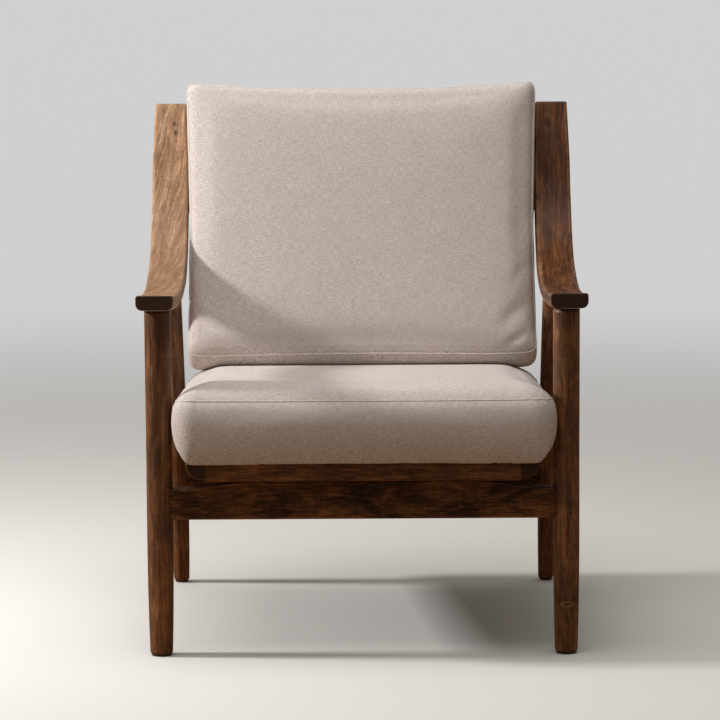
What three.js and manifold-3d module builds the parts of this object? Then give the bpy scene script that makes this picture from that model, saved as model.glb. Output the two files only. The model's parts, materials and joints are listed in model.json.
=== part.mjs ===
// Fireside chair: bent arm boards on round legs, a webbed seat frame and two loose cushions.
// Lengths are millimetres. The front legs' axis line is y = 0, the floor is z = 0, the front faces -y.

import * as THREE from 'three';
import { mergeVertices } from 'three/addons/utils/BufferGeometryUtils.js';
import Module from 'manifold-3d';

const wasm = await Module();
wasm.setup();

// Driving dimensions of the frame. The widths follow the span between the front legs' axes.
const frontLegSpan = 607.4;
const rearLegInset = 4.2;
const armOutset = 2.8;
const legBase = 600;
const rearLegTopY = 392;
const armOverhang = 40;
const rearLegSpan = frontLegSpan - 2 * rearLegInset;
const armSpan = frontLegSpan + 2 * armOutset;
const armRun = 600;
const armLowHeight = 527;
const armRise = 261;

// Clearances, and the overrun of every cut.
const fitGap = 0.3;
const overrun = 5;

// Arm board: width and depth at its tip, rest, elbow and top.
const tipWidth = 56;
const restWidth = 57;
const elbowWidth = 57.5;
const topWidth = 50.5;
const tipDepth = 22.5;
const restDepth = 25;
const bendDepth = 33;
const elbowDepth = 44;
const shoulderDepth = 38;
const topDepth = 29;
const armUpperRound = 4;
const armLowerRound = 10;
const armEndEase = 2;
const armStations = [
  { runShare: 0, riseShare: 0.08, width: tipWidth, depth: tipDepth },
  { runShare: 0.15, riseShare: 0.041, width: tipWidth, depth: tipDepth },
  { runShare: 0.438, riseShare: 0, width: restWidth, depth: restDepth },
  { runShare: 0.622, riseShare: 0.042, width: elbowWidth, depth: bendDepth },
  { runShare: 0.758, riseShare: 0.134, width: elbowWidth, depth: elbowDepth },
  { runShare: 0.858, riseShare: 0.322, width: elbowWidth, depth: elbowDepth },
  { runShare: 0.905, riseShare: 0.49, width: restWidth, depth: elbowDepth },
  { runShare: 0.942, riseShare: 0.693, width: tipWidth, depth: shoulderDepth },
  { runShare: 1, riseShare: 1, width: topWidth, depth: topDepth },
];
const armSteps = 30;
const halvingShare = 1e-6;
const uprightStartShare = 0.5;
const cornerSteps = 3;

// Legs: radii at the foot, the swell and the top, and the round tenon under the arm.
const frontFootRadius = 17;
const frontSwellRadius = 19.6;
const frontTopRadius = 20;
const rearFootRadius = 12.5;
const rearSwellRadius = 15.5;
const rearTopRadius = 13.5;
const legProfile = [
  { heightShare: 0, kind: 'foot' },
  { heightShare: 0.12, kind: 'ankle' },
  { heightShare: 0.3, kind: 'swell' },
  { heightShare: 0.6, kind: 'swell' },
  { heightShare: 1, kind: 'top' },
];
const ankleShare = 0.6;
const legSides = 32;
const tenonSides = 20;
const legTenonRadius = 9;
const legTenonLength = 14;

// Felt glides under the feet.
const glideHeight = 3;
const glideInset = 2;

// Stretchers: a board with a raised middle, let into the legs with flat tenons.
const frontStretcherThickness = 24;
const frontStretcherHeight = 46.5;
const frontStretcherRise = 10.5;
const frontStretcherCrown = 264;
const rearStretcherThickness = 20;
const rearStretcherHeight = 46;
const rearStretcherRise = 11;
const rearStretcherCrown = 239;
const crownShares = [[1, 0], [0.87, 0.19], [0.82, 0.35], [0.72, 0.72], [0.62, 0.97], [0.54, 1]];
const stretcherEase = 1.5;
const stretcherTenonThickness = 11;
const stretcherTenonHeight = 28;
const frontTenonLength = 20;
const rearTenonLength = 14;

// Seat frame, measured from its own corner point on the front stretcher.
const frameLegGap = 20.75;
const seatFrontReach = 50;
const rearRailTail = 24;
const sideRailWidth = 28;
const seatRailHeight = 28;
const sideRailLift = 3.5;
const sideRailRound = 22;
const railEase = 2;
const frontRailDepth = 52;
const rearRailDepth = 50;
const dowelRadius = 4;
const dowelLength = 36;
const dowelInset = 14;
const dowelSides = 16;
const blockLeg = 46;
const blockHeight = 20;

// Elastic webbing across the side rails.
const strapCount = 7;
const strapWidth = 50;
const strapThickness = 2;
const strapLanding = 20;
const strapMargin = 15;

// Screws that hold the seat frame on the stretchers.
const screwSpread = 300;
const screwLength = 44;
const screwRadius = 2.25;
const screwHeadRadius = 4.6;
const screwHeadDepth = 3.2;
const screwTip = 4;
const screwSides = 16;
const rearScrewSetback = 6;

// Back frame between the uprights.
const crestRailDrop = 36;
const lowerRailDrop = 155;
const crestRailHeight = 56;
const lowerRailHeight = 46;
const backRailThickness = 16;
const backRailInset = 8;
const backTenonThickness = 9;
const backTenonInset = 6;
const backTenonLength = 16;
const slatCount = 5;
const slatWidth = 42;
const slatThickness = 9;
const slatTenonLength = 12;
const slatMargin = 72;
const slatSetback = 2;

// Cushions: cover, foam and zip.
const coverThickness = 2;
const foamGap = 0.5;
const zipWidth = 12;
const zipShare = 0.72;
const backZipShare = 0.55;
const cushionLegGap = 3;
const cushionArmGap = 0.75;
const cushionNose = 22;
const seatCushionDepth = 552;
const seatBoxHeight = 91;
const seatCrown = 28;
const seatCorner = 30;
const seatDrawIn = 4;
const seatFlare = 5.5;
const seatFlareReach = 22;
const seatFlarePlace = 28;
const backCushionHeight = 462;
const backBoxDepth = 60;
const backCrown = 20;
const backCorner = 16;
const backDrawIn = 6;
const backTopSag = 8;
const cushionSideSteps = 9;
const cushionCornerSteps = 4;

const wood = new THREE.MeshStandardMaterial({ color: 0x6b4630, roughness: 0.55, metalness: 0 });
const fabric = new THREE.MeshStandardMaterial({ color: 0xc4b6a7, roughness: 0.95, metalness: 0 });
const foamStuff = new THREE.MeshStandardMaterial({ color: 0xe8e0c8, roughness: 0.9, metalness: 0 });
const webbing = new THREE.MeshStandardMaterial({ color: 0x2e2b29, roughness: 0.9, metalness: 0 });
const steel = new THREE.MeshStandardMaterial({ color: 0x9a9a96, roughness: 0.35, metalness: 0.9 });
const zipStuff = new THREE.MeshStandardMaterial({ color: 0xb0a294, roughness: 0.7, metalness: 0 });
const felt = new THREE.MeshStandardMaterial({ color: 0x3a3431, roughness: 1, metalness: 0 });

// Turns an indexed closed geometry into a solid, leaving out triangles that a pole has collapsed.
function solidOf(geometry) {
  const index = geometry.index.array;
  const kept = [];
  for (let corner = 0; corner < index.length; corner += 3) {
    const [a, b, c] = [index[corner], index[corner + 1], index[corner + 2]];
    if (a !== b && b !== c && c !== a) {
      kept.push(a, b, c);
    }
  }
  const vertProperties = new Float32Array(geometry.attributes.position.array);
  return new wasm.Manifold(new wasm.Mesh({ numProp: 3, vertProperties, triVerts: new Uint32Array(kept) }));
}

function mergedSolid(geometry) {
  geometry.deleteAttribute('normal');
  geometry.deleteAttribute('uv');
  return solidOf(mergeVertices(geometry));
}

function placed(solid, matrix) {
  return solid.transform(Array.from(matrix.elements));
}

function moved(solid, x, y, z, turnX = 0) {
  const matrix = new THREE.Matrix4().makeRotationX(turnX);
  matrix.setPosition(x, y, z);
  return placed(solid, matrix);
}

function block(sizeX, sizeY, sizeZ, x, y, z) {
  return moved(mergedSolid(new THREE.BoxGeometry(sizeX, sizeY, sizeZ)), x, y, z);
}

// A turned solid about z from [radius, height] pairs.
function turned(pairs, sides) {
  const points = pairs.map(([radius, height]) => new THREE.Vector2(radius, height));
  const geometry = new THREE.LatheGeometry(points, sides);
  geometry.rotateX(Math.PI / 2);
  return mergedSolid(geometry);
}

function rod(radius, low, high, sides) {
  return turned([[0, low], [radius, low], [radius, high], [0, high]], sides);
}

// A skin over rings with the same number of points, closed by a point at each end.
function loft(rings, first, last) {
  const count = rings[0].length;
  const points = [...rings.flat(), first, last];
  const firstIndex = points.length - 2;
  const lastIndex = points.length - 1;
  const faces = [];
  const top = (rings.length - 1) * count;
  for (let step = 0; step < count; step += 1) {
    const next = (step + 1) % count;
    faces.push(firstIndex, next, step, lastIndex, top + step, top + next);
    for (let ring = 0; ring < rings.length - 1; ring += 1) {
      const low = ring * count;
      const high = low + count;
      faces.push(low + step, low + next, high + next, low + step, high + next, high + step);
    }
  }
  const geometry = new THREE.BufferGeometry();
  const flat = new Float32Array(points.flatMap((point) => point.toArray()));
  geometry.setAttribute('position', new THREE.BufferAttribute(flat, 3));
  geometry.setIndex(faces);
  return solidOf(geometry);
}

function part(name, solid, material) {
  const built = solid.getMesh();
  const geometry = new THREE.BufferGeometry();
  geometry.setAttribute('position', new THREE.BufferAttribute(built.vertProperties, 3));
  geometry.setIndex(new THREE.BufferAttribute(built.triVerts, 1));
  geometry.computeVertexNormals();
  const mesh = new THREE.Mesh(geometry, material);
  mesh.name = name;
  return mesh;
}

// Arm board. Both curves run through the stations alike, so one parameter serves place and size.
const armPath = new THREE.CatmullRomCurve3(armStations.map(({ runShare, riseShare }) =>
  new THREE.Vector3(0, runShare * armRun - armOverhang, armLowHeight + riseShare * armRise)));
const armSizes = new THREE.CatmullRomCurve3(armStations.map(({ width, depth }) =>
  new THREE.Vector3(width, depth, 0)), false, 'catmullrom', 0.5);

function armStation(share) {
  const point = armPath.getPoint(share);
  const size = armSizes.getPoint(share);
  const tangent = armPath.getTangent(share);
  const down = new THREE.Vector3(0, tangent.z, -tangent.y);
  return { point, width: size.x, depth: size.y, tangent, down };
}

// One rounded section of the board, shrunk all round by ease.
function armSection({ point, width, depth, tangent, down }, ease, shift) {
  const upper = armUpperRound;
  const lower = Math.min(armLowerRound, depth / 2);
  const half = width / 2;
  const corners = [
    { x: half - upper, fall: upper, radius: upper, start: -Math.PI / 2 },
    { x: half - lower, fall: depth - lower, radius: lower, start: 0 },
    { x: lower - half, fall: depth - lower, radius: lower, start: Math.PI / 2 },
    { x: upper - half, fall: upper, radius: upper, start: Math.PI },
  ];
  const ring = [];
  for (const corner of corners) {
    for (let step = 0; step <= cornerSteps; step += 1) {
      const angle = corner.start + (step / cornerSteps) * (Math.PI / 2);
      const radius = corner.radius - ease;
      const across = corner.x + radius * Math.cos(angle);
      const fall = corner.fall + radius * Math.sin(angle);
      const place = point.clone().addScaledVector(down, fall).addScaledVector(tangent, shift);
      ring.push(new THREE.Vector3(across, place.y, place.z));
    }
  }
  return ring;
}

function armBlank(side) {
  const rings = [armSection(armStation(0), armEndEase, -armEndEase)];
  for (let step = 0; step <= armSteps; step += 1) {
    rings.push(armSection(armStation(step / armSteps), 0, 0));
  }
  rings.push(armSection(armStation(1), armEndEase, armEndEase));
  const middle = (ring) => ring
    .reduce((sum, point) => sum.add(point), new THREE.Vector3())
    .divideScalar(ring.length);
  const solid = loft(rings, middle(rings[0]), middle(rings.at(-1)));
  return moved(solid, side * armSpan / 2, 0, 0);
}

// The board's underside, found by halving: height over a place y on the arm rest.
function armUnder(y) {
  let [low, high] = [0, 1];
  const under = (share) => {
    const { point, down, depth } = armStation(share);
    return point.clone().addScaledVector(down, depth);
  };
  while (high - low > halvingShare) {
    const share = (low + high) / 2;
    if (under(share).y < y) {
      low = share;
    } else {
      high = share;
    }
  }
  return under(low);
}

// The upright's rear face and width at a height below the board's top end.
function uprightRear(drop) {
  let [low, high] = [uprightStartShare, 1];
  const rear = (share) => {
    const { point, down, depth, width } = armStation(share);
    return { point: point.clone().addScaledVector(down, depth), width };
  };
  const wanted = armLowHeight + armRise - drop;
  while (high - low > halvingShare) {
    const share = (low + high) / 2;
    if (rear(share).point.z < wanted) {
      low = share;
    } else {
      high = share;
    }
  }
  return rear(low);
}

// Legs.
const frontLegTop = armUnder(0);
const rearLegTop = armUnder(rearLegTopY);
const rearRake = Math.atan2(legBase - rearLegTop.y, rearLegTop.z);
const rearLegLength = Math.hypot(legBase - rearLegTop.y, rearLegTop.z);

function legBlank(length, radii, extra) {
  const pairs = legProfile.map(({ heightShare, kind }) => [radii[kind] + extra, heightShare * length]);
  const reach = [radii.top + extra, length + legTenonLength];
  const sole = [radii.foot + extra, -radii.foot];
  return turned([[0, sole[1]], sole, ...pairs, reach, [0, reach[1]]], legSides);
}

function radiiOf(foot, swell, top) {
  return { foot, ankle: foot + ankleShare * (swell - foot), swell, top };
}

const frontRadii = radiiOf(frontFootRadius, frontSwellRadius, frontTopRadius);
const rearRadii = radiiOf(rearFootRadius, rearSwellRadius, rearTopRadius);

function frontLegAt(side, solid) {
  return moved(solid, side * frontLegSpan / 2, 0, 0);
}

function rearLegAt(side, solid) {
  return moved(solid, side * rearLegSpan / 2, legBase, 0, rearRake);
}

function frontLegBlank(side, extra) {
  return frontLegAt(side, legBlank(frontLegTop.z, frontRadii, extra));
}

function rearLegBlank(side, extra) {
  return rearLegAt(side, legBlank(rearLegLength, rearRadii, extra));
}

function legTenon(length, extra) {
  return rod(legTenonRadius + extra, length - legTenonLength, length + legTenonLength + extra, tenonSides);
}

const floorBlock = block(
  frontLegSpan * 2, legBase * 3, glideHeight + legBase, 0, legBase / 2, (glideHeight - legBase) / 2);

// A leg: its blank with the foot cut level, the shoulder cut to the arm, and the tenon put back.
function legPiece(blank, tenon, arm, mortise) {
  const shoulder = moved(arm, 0, 0, -fitGap);
  return blank.subtract(floorBlock).subtract(shoulder).add(tenon).subtract(mortise);
}

// A stretcher board seen from the front: level below, ends upright, and a raised middle along the
// crown shares.
function stretcherBoard(halfLength, height, rise, crown, thickness) {
  const outline = new THREE.Shape();
  const end = crown - rise;
  const bottom = end - height;
  const inner = stretcherEase;
  outline.moveTo(-halfLength, bottom + inner);
  outline.lineTo(halfLength, bottom + inner);
  const right = crownShares.map(
    ([across, up]) => new THREE.Vector2(across * halfLength, end - inner + up * rise));
  const left = right.map((point) => new THREE.Vector2(-point.x, point.y)).reverse();
  for (const point of [...right, ...left]) {
    outline.lineTo(point.x, point.y);
  }
  outline.closePath();
  const geometry = new THREE.ExtrudeGeometry(outline, {
    depth: thickness - 2 * stretcherEase,
    bevelThickness: stretcherEase,
    bevelSize: stretcherEase,
    bevelSegments: 1,
  });
  geometry.rotateX(Math.PI / 2);
  return moved(mergedSolid(geometry), 0, thickness / 2 - stretcherEase, 0);
}

function stretcherTenon(side, face, length, middle, extra) {
  const reach = length + overrun + extra;
  const x = side * (face - overrun + reach / 2);
  return block(reach, stretcherTenonThickness + 2 * extra, stretcherTenonHeight + 2 * extra, x, 0, middle);
}

const frontInnerFace = frontLegSpan / 2 - frontSwellRadius;
const rearInnerFace = rearLegSpan / 2 - rearSwellRadius;
const frontStretcherMiddle = frontStretcherCrown - frontStretcherRise - frontStretcherHeight / 2;
const rearStretcherMiddle = rearStretcherCrown - rearStretcherRise - rearStretcherHeight / 2;
const innerFace = Math.min(frontInnerFace, rearInnerFace);

// The rear stretcher stands in the plane of the raked legs, so its heights run along them.
function inRearLegs(solid) {
  return moved(solid, 0, legBase, 0, rearRake);
}

function frontTenon(side, extra) {
  return stretcherTenon(side, frontInnerFace, frontTenonLength, frontStretcherMiddle, extra);
}

function rearTenon(side, extra) {
  return inRearLegs(stretcherTenon(side, rearInnerFace, rearTenonLength, rearStretcherMiddle, extra));
}

const frontBoard = stretcherBoard(
  frontLegSpan / 2, frontStretcherHeight, frontStretcherRise, frontStretcherCrown, frontStretcherThickness);
const rearBoard = inRearLegs(stretcherBoard(
  rearLegSpan / 2, rearStretcherHeight, rearStretcherRise, rearStretcherCrown, rearStretcherThickness));

// Seat frame. It rests on the rear top edge of each stretcher, and the front one is its corner point.
const rearEdgeY = legBase - rearStretcherCrown * Math.sin(rearRake)
  + (rearStretcherThickness / 2) * Math.cos(rearRake);
const rearEdgeZ = rearStretcherCrown * Math.cos(rearRake) + (rearStretcherThickness / 2) * Math.sin(rearRake);
const seatFall = frontStretcherCrown - rearEdgeZ;
const seatRun = rearEdgeY - frontStretcherThickness / 2;
const seatPitch = Math.atan2(seatFall, seatRun);
const seat = new THREE.Group();
seat.position.set(0, frontStretcherThickness / 2, frontStretcherCrown + fitGap);
seat.rotation.x = -seatPitch;
seat.updateMatrix();
const railOuterX = innerFace - frameLegGap;
const railInnerX = railOuterX - sideRailWidth;
const rearEdge = Math.hypot(seatFall, seatRun);
const seatRearReach = rearEdge + rearRailTail;
const rearRailFront = seatRearReach - rearRailDepth;

function sideRailBlank(side) {
  const outer = railOuterX;
  const round = Math.min(sideRailRound, seatRailHeight - sideRailLift - railEase);
  const outline = new THREE.Shape();
  outline.moveTo(side * railInnerX, sideRailLift);
  outline.lineTo(side * (outer - round), sideRailLift);
  for (let step = 1; step <= 2 * cornerSteps; step += 1) {
    const angle = (step / (2 * cornerSteps)) * (Math.PI / 2);
    const x = outer - round + round * Math.sin(angle);
    outline.lineTo(side * x, sideRailLift + round * (1 - Math.cos(angle)));
  }
  outline.lineTo(side * outer, seatRailHeight - railEase);
  outline.lineTo(side * (outer - railEase), seatRailHeight);
  outline.lineTo(side * railInnerX, seatRailHeight);
  outline.closePath();
  const length = seatFrontReach + seatRearReach;
  const geometry = new THREE.ExtrudeGeometry(outline, { depth: length, bevelEnabled: false });
  geometry.rotateX(Math.PI / 2);
  return moved(mergedSolid(geometry), 0, seatRearReach, 0);
}

function crossRail(front, depth) {
  const length = 2 * (railInnerX - fitGap);
  const outline = new THREE.Shape();
  outline.moveTo(front, railEase);
  outline.lineTo(front + railEase, 0);
  outline.lineTo(front + depth, 0);
  outline.lineTo(front + depth, seatRailHeight);
  outline.lineTo(front + railEase, seatRailHeight);
  outline.lineTo(front, seatRailHeight - railEase);
  outline.closePath();
  const geometry = new THREE.ExtrudeGeometry(outline, { depth: length, bevelEnabled: false });
  geometry.rotateX(Math.PI / 2);
  geometry.rotateZ(Math.PI / 2);
  return moved(mergedSolid(geometry), -length / 2, 0, 0);
}

const frontRailPlaces = [dowelInset - seatFrontReach, frontRailDepth - dowelInset - seatFrontReach];
const rearRailPlaces = [rearRailFront + dowelInset, seatRearReach - dowelInset];
const dowelPlaces = [-1, 1].flatMap((side) =>
  [...frontRailPlaces, ...rearRailPlaces].map((y) => ({ side, y })));

function dowel({ side, y }, extra) {
  const half = dowelLength / 2 + extra;
  const geometry = new THREE.CylinderGeometry(dowelRadius + extra, dowelRadius + extra, 2 * half, dowelSides);
  geometry.rotateZ(Math.PI / 2);
  return moved(mergedSolid(geometry), side * railInnerX, y, (seatRailHeight + sideRailLift) / 2);
}

// A countersunk screw down through a rail, or with some extra the hole that it goes in.
function screwAt({ x, y }, extra) {
  const rim = seatRailHeight - fitGap;
  const tip = rim - screwLength;
  const top = extra > 0 ? rim + overrun : rim;
  const shank = screwRadius + extra;
  const head = screwHeadRadius + extra;
  const profile = [
    [0, tip - extra],
    [shank, tip + screwTip - extra],
    [shank, rim - screwHeadDepth - extra],
    [head, rim - extra],
    ...(extra > 0 ? [[head, top]] : []),
    [0, top],
  ];
  return moved(turned(profile, screwSides), x, y, 0);
}

const screwLines = [-frontStretcherThickness / 2, rearEdge - rearScrewSetback];
const screwPlaces = [-1, 1].flatMap((side) => screwLines.map((y) => ({ x: side * screwSpread / 2, y })));

function withoutAll(solid, cutters) {
  return cutters.reduce((rest, cutter) => rest.subtract(cutter), solid);
}

const dowelHoles = dowelPlaces.map((place) => dowel(place, fitGap));
const screwHoles = screwPlaces.map((place) => screwAt(place, fitGap));

function cornerBlock(side, y, facing) {
  const inner = side * (railInnerX - fitGap);
  const outline = new THREE.Shape();
  outline.moveTo(inner, y);
  outline.lineTo(inner - side * blockLeg, y);
  outline.lineTo(inner, y + facing * blockLeg);
  outline.closePath();
  const geometry = new THREE.ExtrudeGeometry(outline, { depth: blockHeight, bevelEnabled: false });
  return moved(mergedSolid(geometry), 0, 0, sideRailLift);
}

// Cushions. A ring is a rounded outline, inset from the seam line, with its sides drawn in.
function cushionRing(form, inset, height) {
  const halfX = form.halfX - inset;
  const halfY = form.halfY - inset;
  const radius = Math.max(form.corner - inset, form.corner / 4);
  const [innerX, innerY] = [halfX - radius, halfY - radius];
  const corners = [[1, 1], [-1, 1], [-1, -1], [1, -1]];
  const ring = [];
  corners.forEach(([sideX, sideY], quarter) => {
    for (let step = 0; step <= cushionCornerSteps; step += 1) {
      const angle = (quarter + step / cushionCornerSteps) * (Math.PI / 2);
      ring.push([sideX * innerX + radius * Math.cos(angle), sideY * innerY + radius * Math.sin(angle)]);
    }
    const [nextX, nextY] = corners[(quarter + 1) % 4];
    const last = ring.at(-1);
    const turn = (quarter + 1) * (Math.PI / 2);
    const goal = [nextX * innerX + radius * Math.cos(turn), nextY * innerY + radius * Math.sin(turn)];
    for (let step = 1; step < cushionSideSteps; step += 1) {
      const share = step / cushionSideSteps;
      ring.push([last[0] + share * (goal[0] - last[0]), last[1] + share * (goal[1] - last[1])]);
    }
  });
  return ring.map(([x, y]) => {
    const [across, along] = form.pull(x, y);
    return new THREE.Vector3(across, along, height);
  });
}

function cushionSolid(form, levels) {
  const rings = levels.map(([inset, height]) => cushionRing(form, inset, height));
  const low = new THREE.Vector3(0, 0, levels[0][1]);
  const high = new THREE.Vector3(0, 0, levels.at(-1)[1]);
  return loft(rings, low, high);
}

// Levels run from the middle of the lower face round the side to the crown: [inset share, height share].
const boxLevelShares = [
  [0.6, 0], [0.1, 0], [0.035, 0.02], [0.008, 0.12], [0, 0.45], [0.004, 0.8], [0.02, 1],
];
const crownLevelShares = [[0.05, 0.4], [0.1, 0.66], [0.2, 0.86], [0.4, 0.97], [0.7, 1]];
const coreBoxShares = [[0.6, 0], [0.04, 0], [0, 0.3], [0.004, 0.8], [0.03, 1]];
const coreCrownShares = [[0.1, 0.62], [0.3, 0.93], [0.7, 1]];

function levelsOf(reach, box, crown, boxShares, risingShares) {
  const lower = boxShares.map(([inset, height]) => [inset * reach, height * box]);
  const upper = risingShares.map(([inset, height]) => [inset * reach, box + height * crown]);
  return [...lower, ...upper];
}

function cushionOuter(form) {
  const levels = levelsOf(form.halfY, form.box, form.crown, boxLevelShares, crownLevelShares);
  return cushionSolid(form, levels);
}

function cushionCore(form, inset) {
  const smaller = {
    ...form,
    halfX: form.halfX - inset,
    halfY: form.halfY - inset,
  };
  const levels = levelsOf(
    smaller.halfY, form.box - inset, form.crown - inset, coreBoxShares, coreCrownShares);
  return moved(cushionSolid(smaller, levels), 0, 0, inset);
}

const seatHalfDepth = seatCushionDepth / 2;
const seatCushionMiddle = seatHalfDepth - seatFrontReach - cushionNose;
const seatCushionHalfWidth = innerFace - cushionLegGap;
const uprightInnerX = (armSpan - elbowWidth) / 2;
const backCushionHalfWidth = uprightInnerX - cushionArmGap;
const seatForm = {
  halfX: seatCushionHalfWidth,
  halfY: seatHalfDepth,
  corner: seatCorner,
  box: seatBoxHeight,
  crown: seatCrown,
  pull: (x, y) => {
    const along = y / seatHalfDepth;
    const place = (y + seatHalfDepth - seatFlarePlace) / seatFlareReach;
    const change = seatFlare * Math.exp(-place * place) - seatDrawIn * (1 - along * along);
    return [x * (1 + change / seatCushionHalfWidth), y];
  },
};
const backForm = {
  halfX: backCushionHalfWidth,
  halfY: backCushionHeight / 2,
  corner: backCorner,
  box: backBoxDepth,
  crown: backCrown,
  pull: (x, y) => {
    const along = 2 * y / backCushionHeight;
    const across = x / backCushionHalfWidth;
    const sag = backTopSag * (1 - across * across) * Math.max(along, 0);
    return [x * (1 - backDrawIn * (1 - along * along) / backCushionHalfWidth), y - sag];
  },
};

// A cushion's cover, foam and zip in its own frame: x across, y along, z through it.
function cushionSet(form, zip, trim) {
  const outer = trim(cushionOuter(form), 0);
  const hollow = trim(cushionCore(form, coverThickness), coverThickness);
  const core = coverThickness + foamGap;
  return {
    cover: outer.subtract(hollow).subtract(zip(fitGap, overrun)),
    foam: trim(cushionCore(form, core), core),
    zip: zip(0, 0),
  };
}

// A zip through the rear side of the seat cushion, and one through the rear face of the back cushion.
function seatZip(extra, reach) {
  const length = 2 * (zipShare * seatForm.halfX + extra);
  const y = seatForm.halfY - coverThickness / 2;
  return block(length, coverThickness + 2 * reach, zipWidth + 2 * extra, 0, y, seatForm.box / 2);
}

function backZip(extra, reach) {
  const length = 2 * (zipShare * backForm.halfX + extra);
  const y = -backZipShare * backForm.halfY;
  return block(length, zipWidth + 2 * extra, coverThickness + 2 * reach, 0, y, coverThickness / 2);
}

const seatBase = seatRailHeight + strapThickness + 2 * fitGap;
const seatTop = seatBase + seatForm.box + seatForm.crown;

// Back frame: its plane runs through the two rails' places on the uprights' rear faces.
const crestRear = uprightRear(crestRailDrop).point;
const lowerRear = uprightRear(lowerRailDrop).point;
const recline = Math.atan2(crestRear.y - lowerRear.y, crestRear.z - lowerRear.z);
const railSpacing = Math.hypot(crestRear.y - lowerRear.y, crestRear.z - lowerRear.z);
const back = new THREE.Group();
back.position.copy(lowerRear);
back.rotation.x = -recline;
back.updateMatrix();
const railMiddleY = -backRailInset - backRailThickness / 2;
const railFrontY = -backRailInset - backRailThickness;

function shoulderX(drop, height) {
  return (armSpan - uprightRear(drop + height / 2).width) / 2 - fitGap;
}

const crest = { z: railSpacing, height: crestRailHeight, end: shoulderX(crestRailDrop, crestRailHeight) };
const lower = { z: 0, height: lowerRailHeight, end: shoulderX(lowerRailDrop, lowerRailHeight) };

function railTenon({ z, height, end }, side, extra) {
  const reach = backTenonLength + overrun + extra;
  const x = side * (end - overrun + reach / 2);
  const tall = height - 2 * backTenonInset + 2 * extra;
  return block(reach, backTenonThickness + 2 * extra, tall, x, railMiddleY, z);
}

function backRail(rail) {
  const board = block(2 * rail.end, backRailThickness, rail.height, 0, railMiddleY, rail.z);
  return board.add(railTenon(rail, -1, 0)).add(railTenon(rail, 1, 0));
}

const slatSpread = 2 * (lower.end - slatMargin) - slatWidth;
const slatPlaces = Array.from(
  { length: slatCount }, (_, place) => (place / (slatCount - 1) - 0.5) * slatSpread);
const slatLow = lowerRailHeight / 2 - slatTenonLength;
const slatHigh = railSpacing - crestRailHeight / 2 + slatTenonLength;

function slat(x, extra) {
  const tall = slatHigh - slatLow + 2 * extra;
  const y = railFrontY + slatSetback + slatThickness / 2;
  return block(slatWidth + 2 * extra, slatThickness + 2 * extra, tall, x, y, (slatLow + slatHigh) / 2);
}

// The back cushion stands on the plane of the seat cushion's crown, which cuts its lower side level.
const backFaceY = railFrontY - fitGap - backForm.box;
const faceFoot = new THREE.Vector3(0, backFaceY, 0).applyMatrix4(back.matrix);
faceFoot.applyMatrix4(seat.matrix.clone().invert());
const backFootZ = (seatTop + fitGap - faceFoot.z) / Math.cos(recline - seatPitch);
const backCushion = new THREE.Group();
backCushion.position.set(0, railFrontY - fitGap, backFootZ + backForm.halfY);
backCushion.rotation.x = Math.PI / 2;
backCushion.updateMatrix();
const seatToBackCushion = back.matrix.clone().multiply(backCushion.matrix).invert().multiply(seat.matrix);

function trimOnSeat(solid, lift) {
  const size = 2 * backCushionHeight;
  const level = seatTop + fitGap + lift;
  return solid.subtract(placed(block(size, size, size, 0, rearEdge, level - size / 2), seatToBackCushion));
}

const seatCushion = new THREE.Group();
seatCushion.position.set(0, seatCushionMiddle, seatBase);

const chair = new THREE.Group();
chair.add(seat, back);
seat.add(seatCushion);
back.add(backCushion);

function addArmsAndLegs() {
  for (const [word, side] of [['left', -1], ['right', 1]]) {
    const arm = armBlank(side);
    const frontPlug = (extra) => frontLegAt(side, legTenon(frontLegTop.z, extra));
    const rearPlug = (extra) => rearLegAt(side, legTenon(rearLegLength, extra));
    const sockets = [
      frontPlug(fitGap),
      rearPlug(fitGap),
      placed(railTenon(crest, side, fitGap), back.matrix),
      placed(railTenon(lower, side, fitGap), back.matrix),
    ];
    const frontLeg = legPiece(frontLegBlank(side, 0), frontPlug(0), arm, frontTenon(side, fitGap));
    const rearLeg = legPiece(rearLegBlank(side, 0), rearPlug(0), arm, rearTenon(side, fitGap));
    chair.add(
      part(`arm_${word}`, withoutAll(arm, sockets), wood),
      part(`front_leg_${word}`, frontLeg, wood),
      part(`rear_leg_${word}`, rearLeg, wood));
    const rearGlideY = legBase - glideHeight * Math.tan(rearRake);
    const glideTop = glideHeight - fitGap;
    const frontGlide = part(
      `front_glide_${word}`, rod(frontFootRadius - glideInset, 0, glideTop, tenonSides), felt);
    frontGlide.position.x = side * frontLegSpan / 2;
    const rearGlide = part(
      `rear_glide_${word}`, rod(rearFootRadius - glideInset, 0, glideTop, tenonSides), felt);
    rearGlide.position.set(side * rearLegSpan / 2, rearGlideY, 0);
    chair.add(frontGlide, rearGlide);
  }
}

function addStretchers() {
  const holes = screwHoles.map((hole) => placed(hole, seat.matrix));
  const front = withoutAll(frontBoard, [frontLegBlank(-1, fitGap), frontLegBlank(1, fitGap)]);
  const rear = withoutAll(rearBoard, [rearLegBlank(-1, fitGap), rearLegBlank(1, fitGap)]);
  const frontWhole = withoutAll(front.add(frontTenon(-1, 0)).add(frontTenon(1, 0)), holes);
  const rearWhole = withoutAll(rear.add(rearTenon(-1, 0)).add(rearTenon(1, 0)), holes);
  chair.add(part('front_stretcher', frontWhole, wood), part('rear_stretcher', rearWhole, wood));
}

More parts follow.
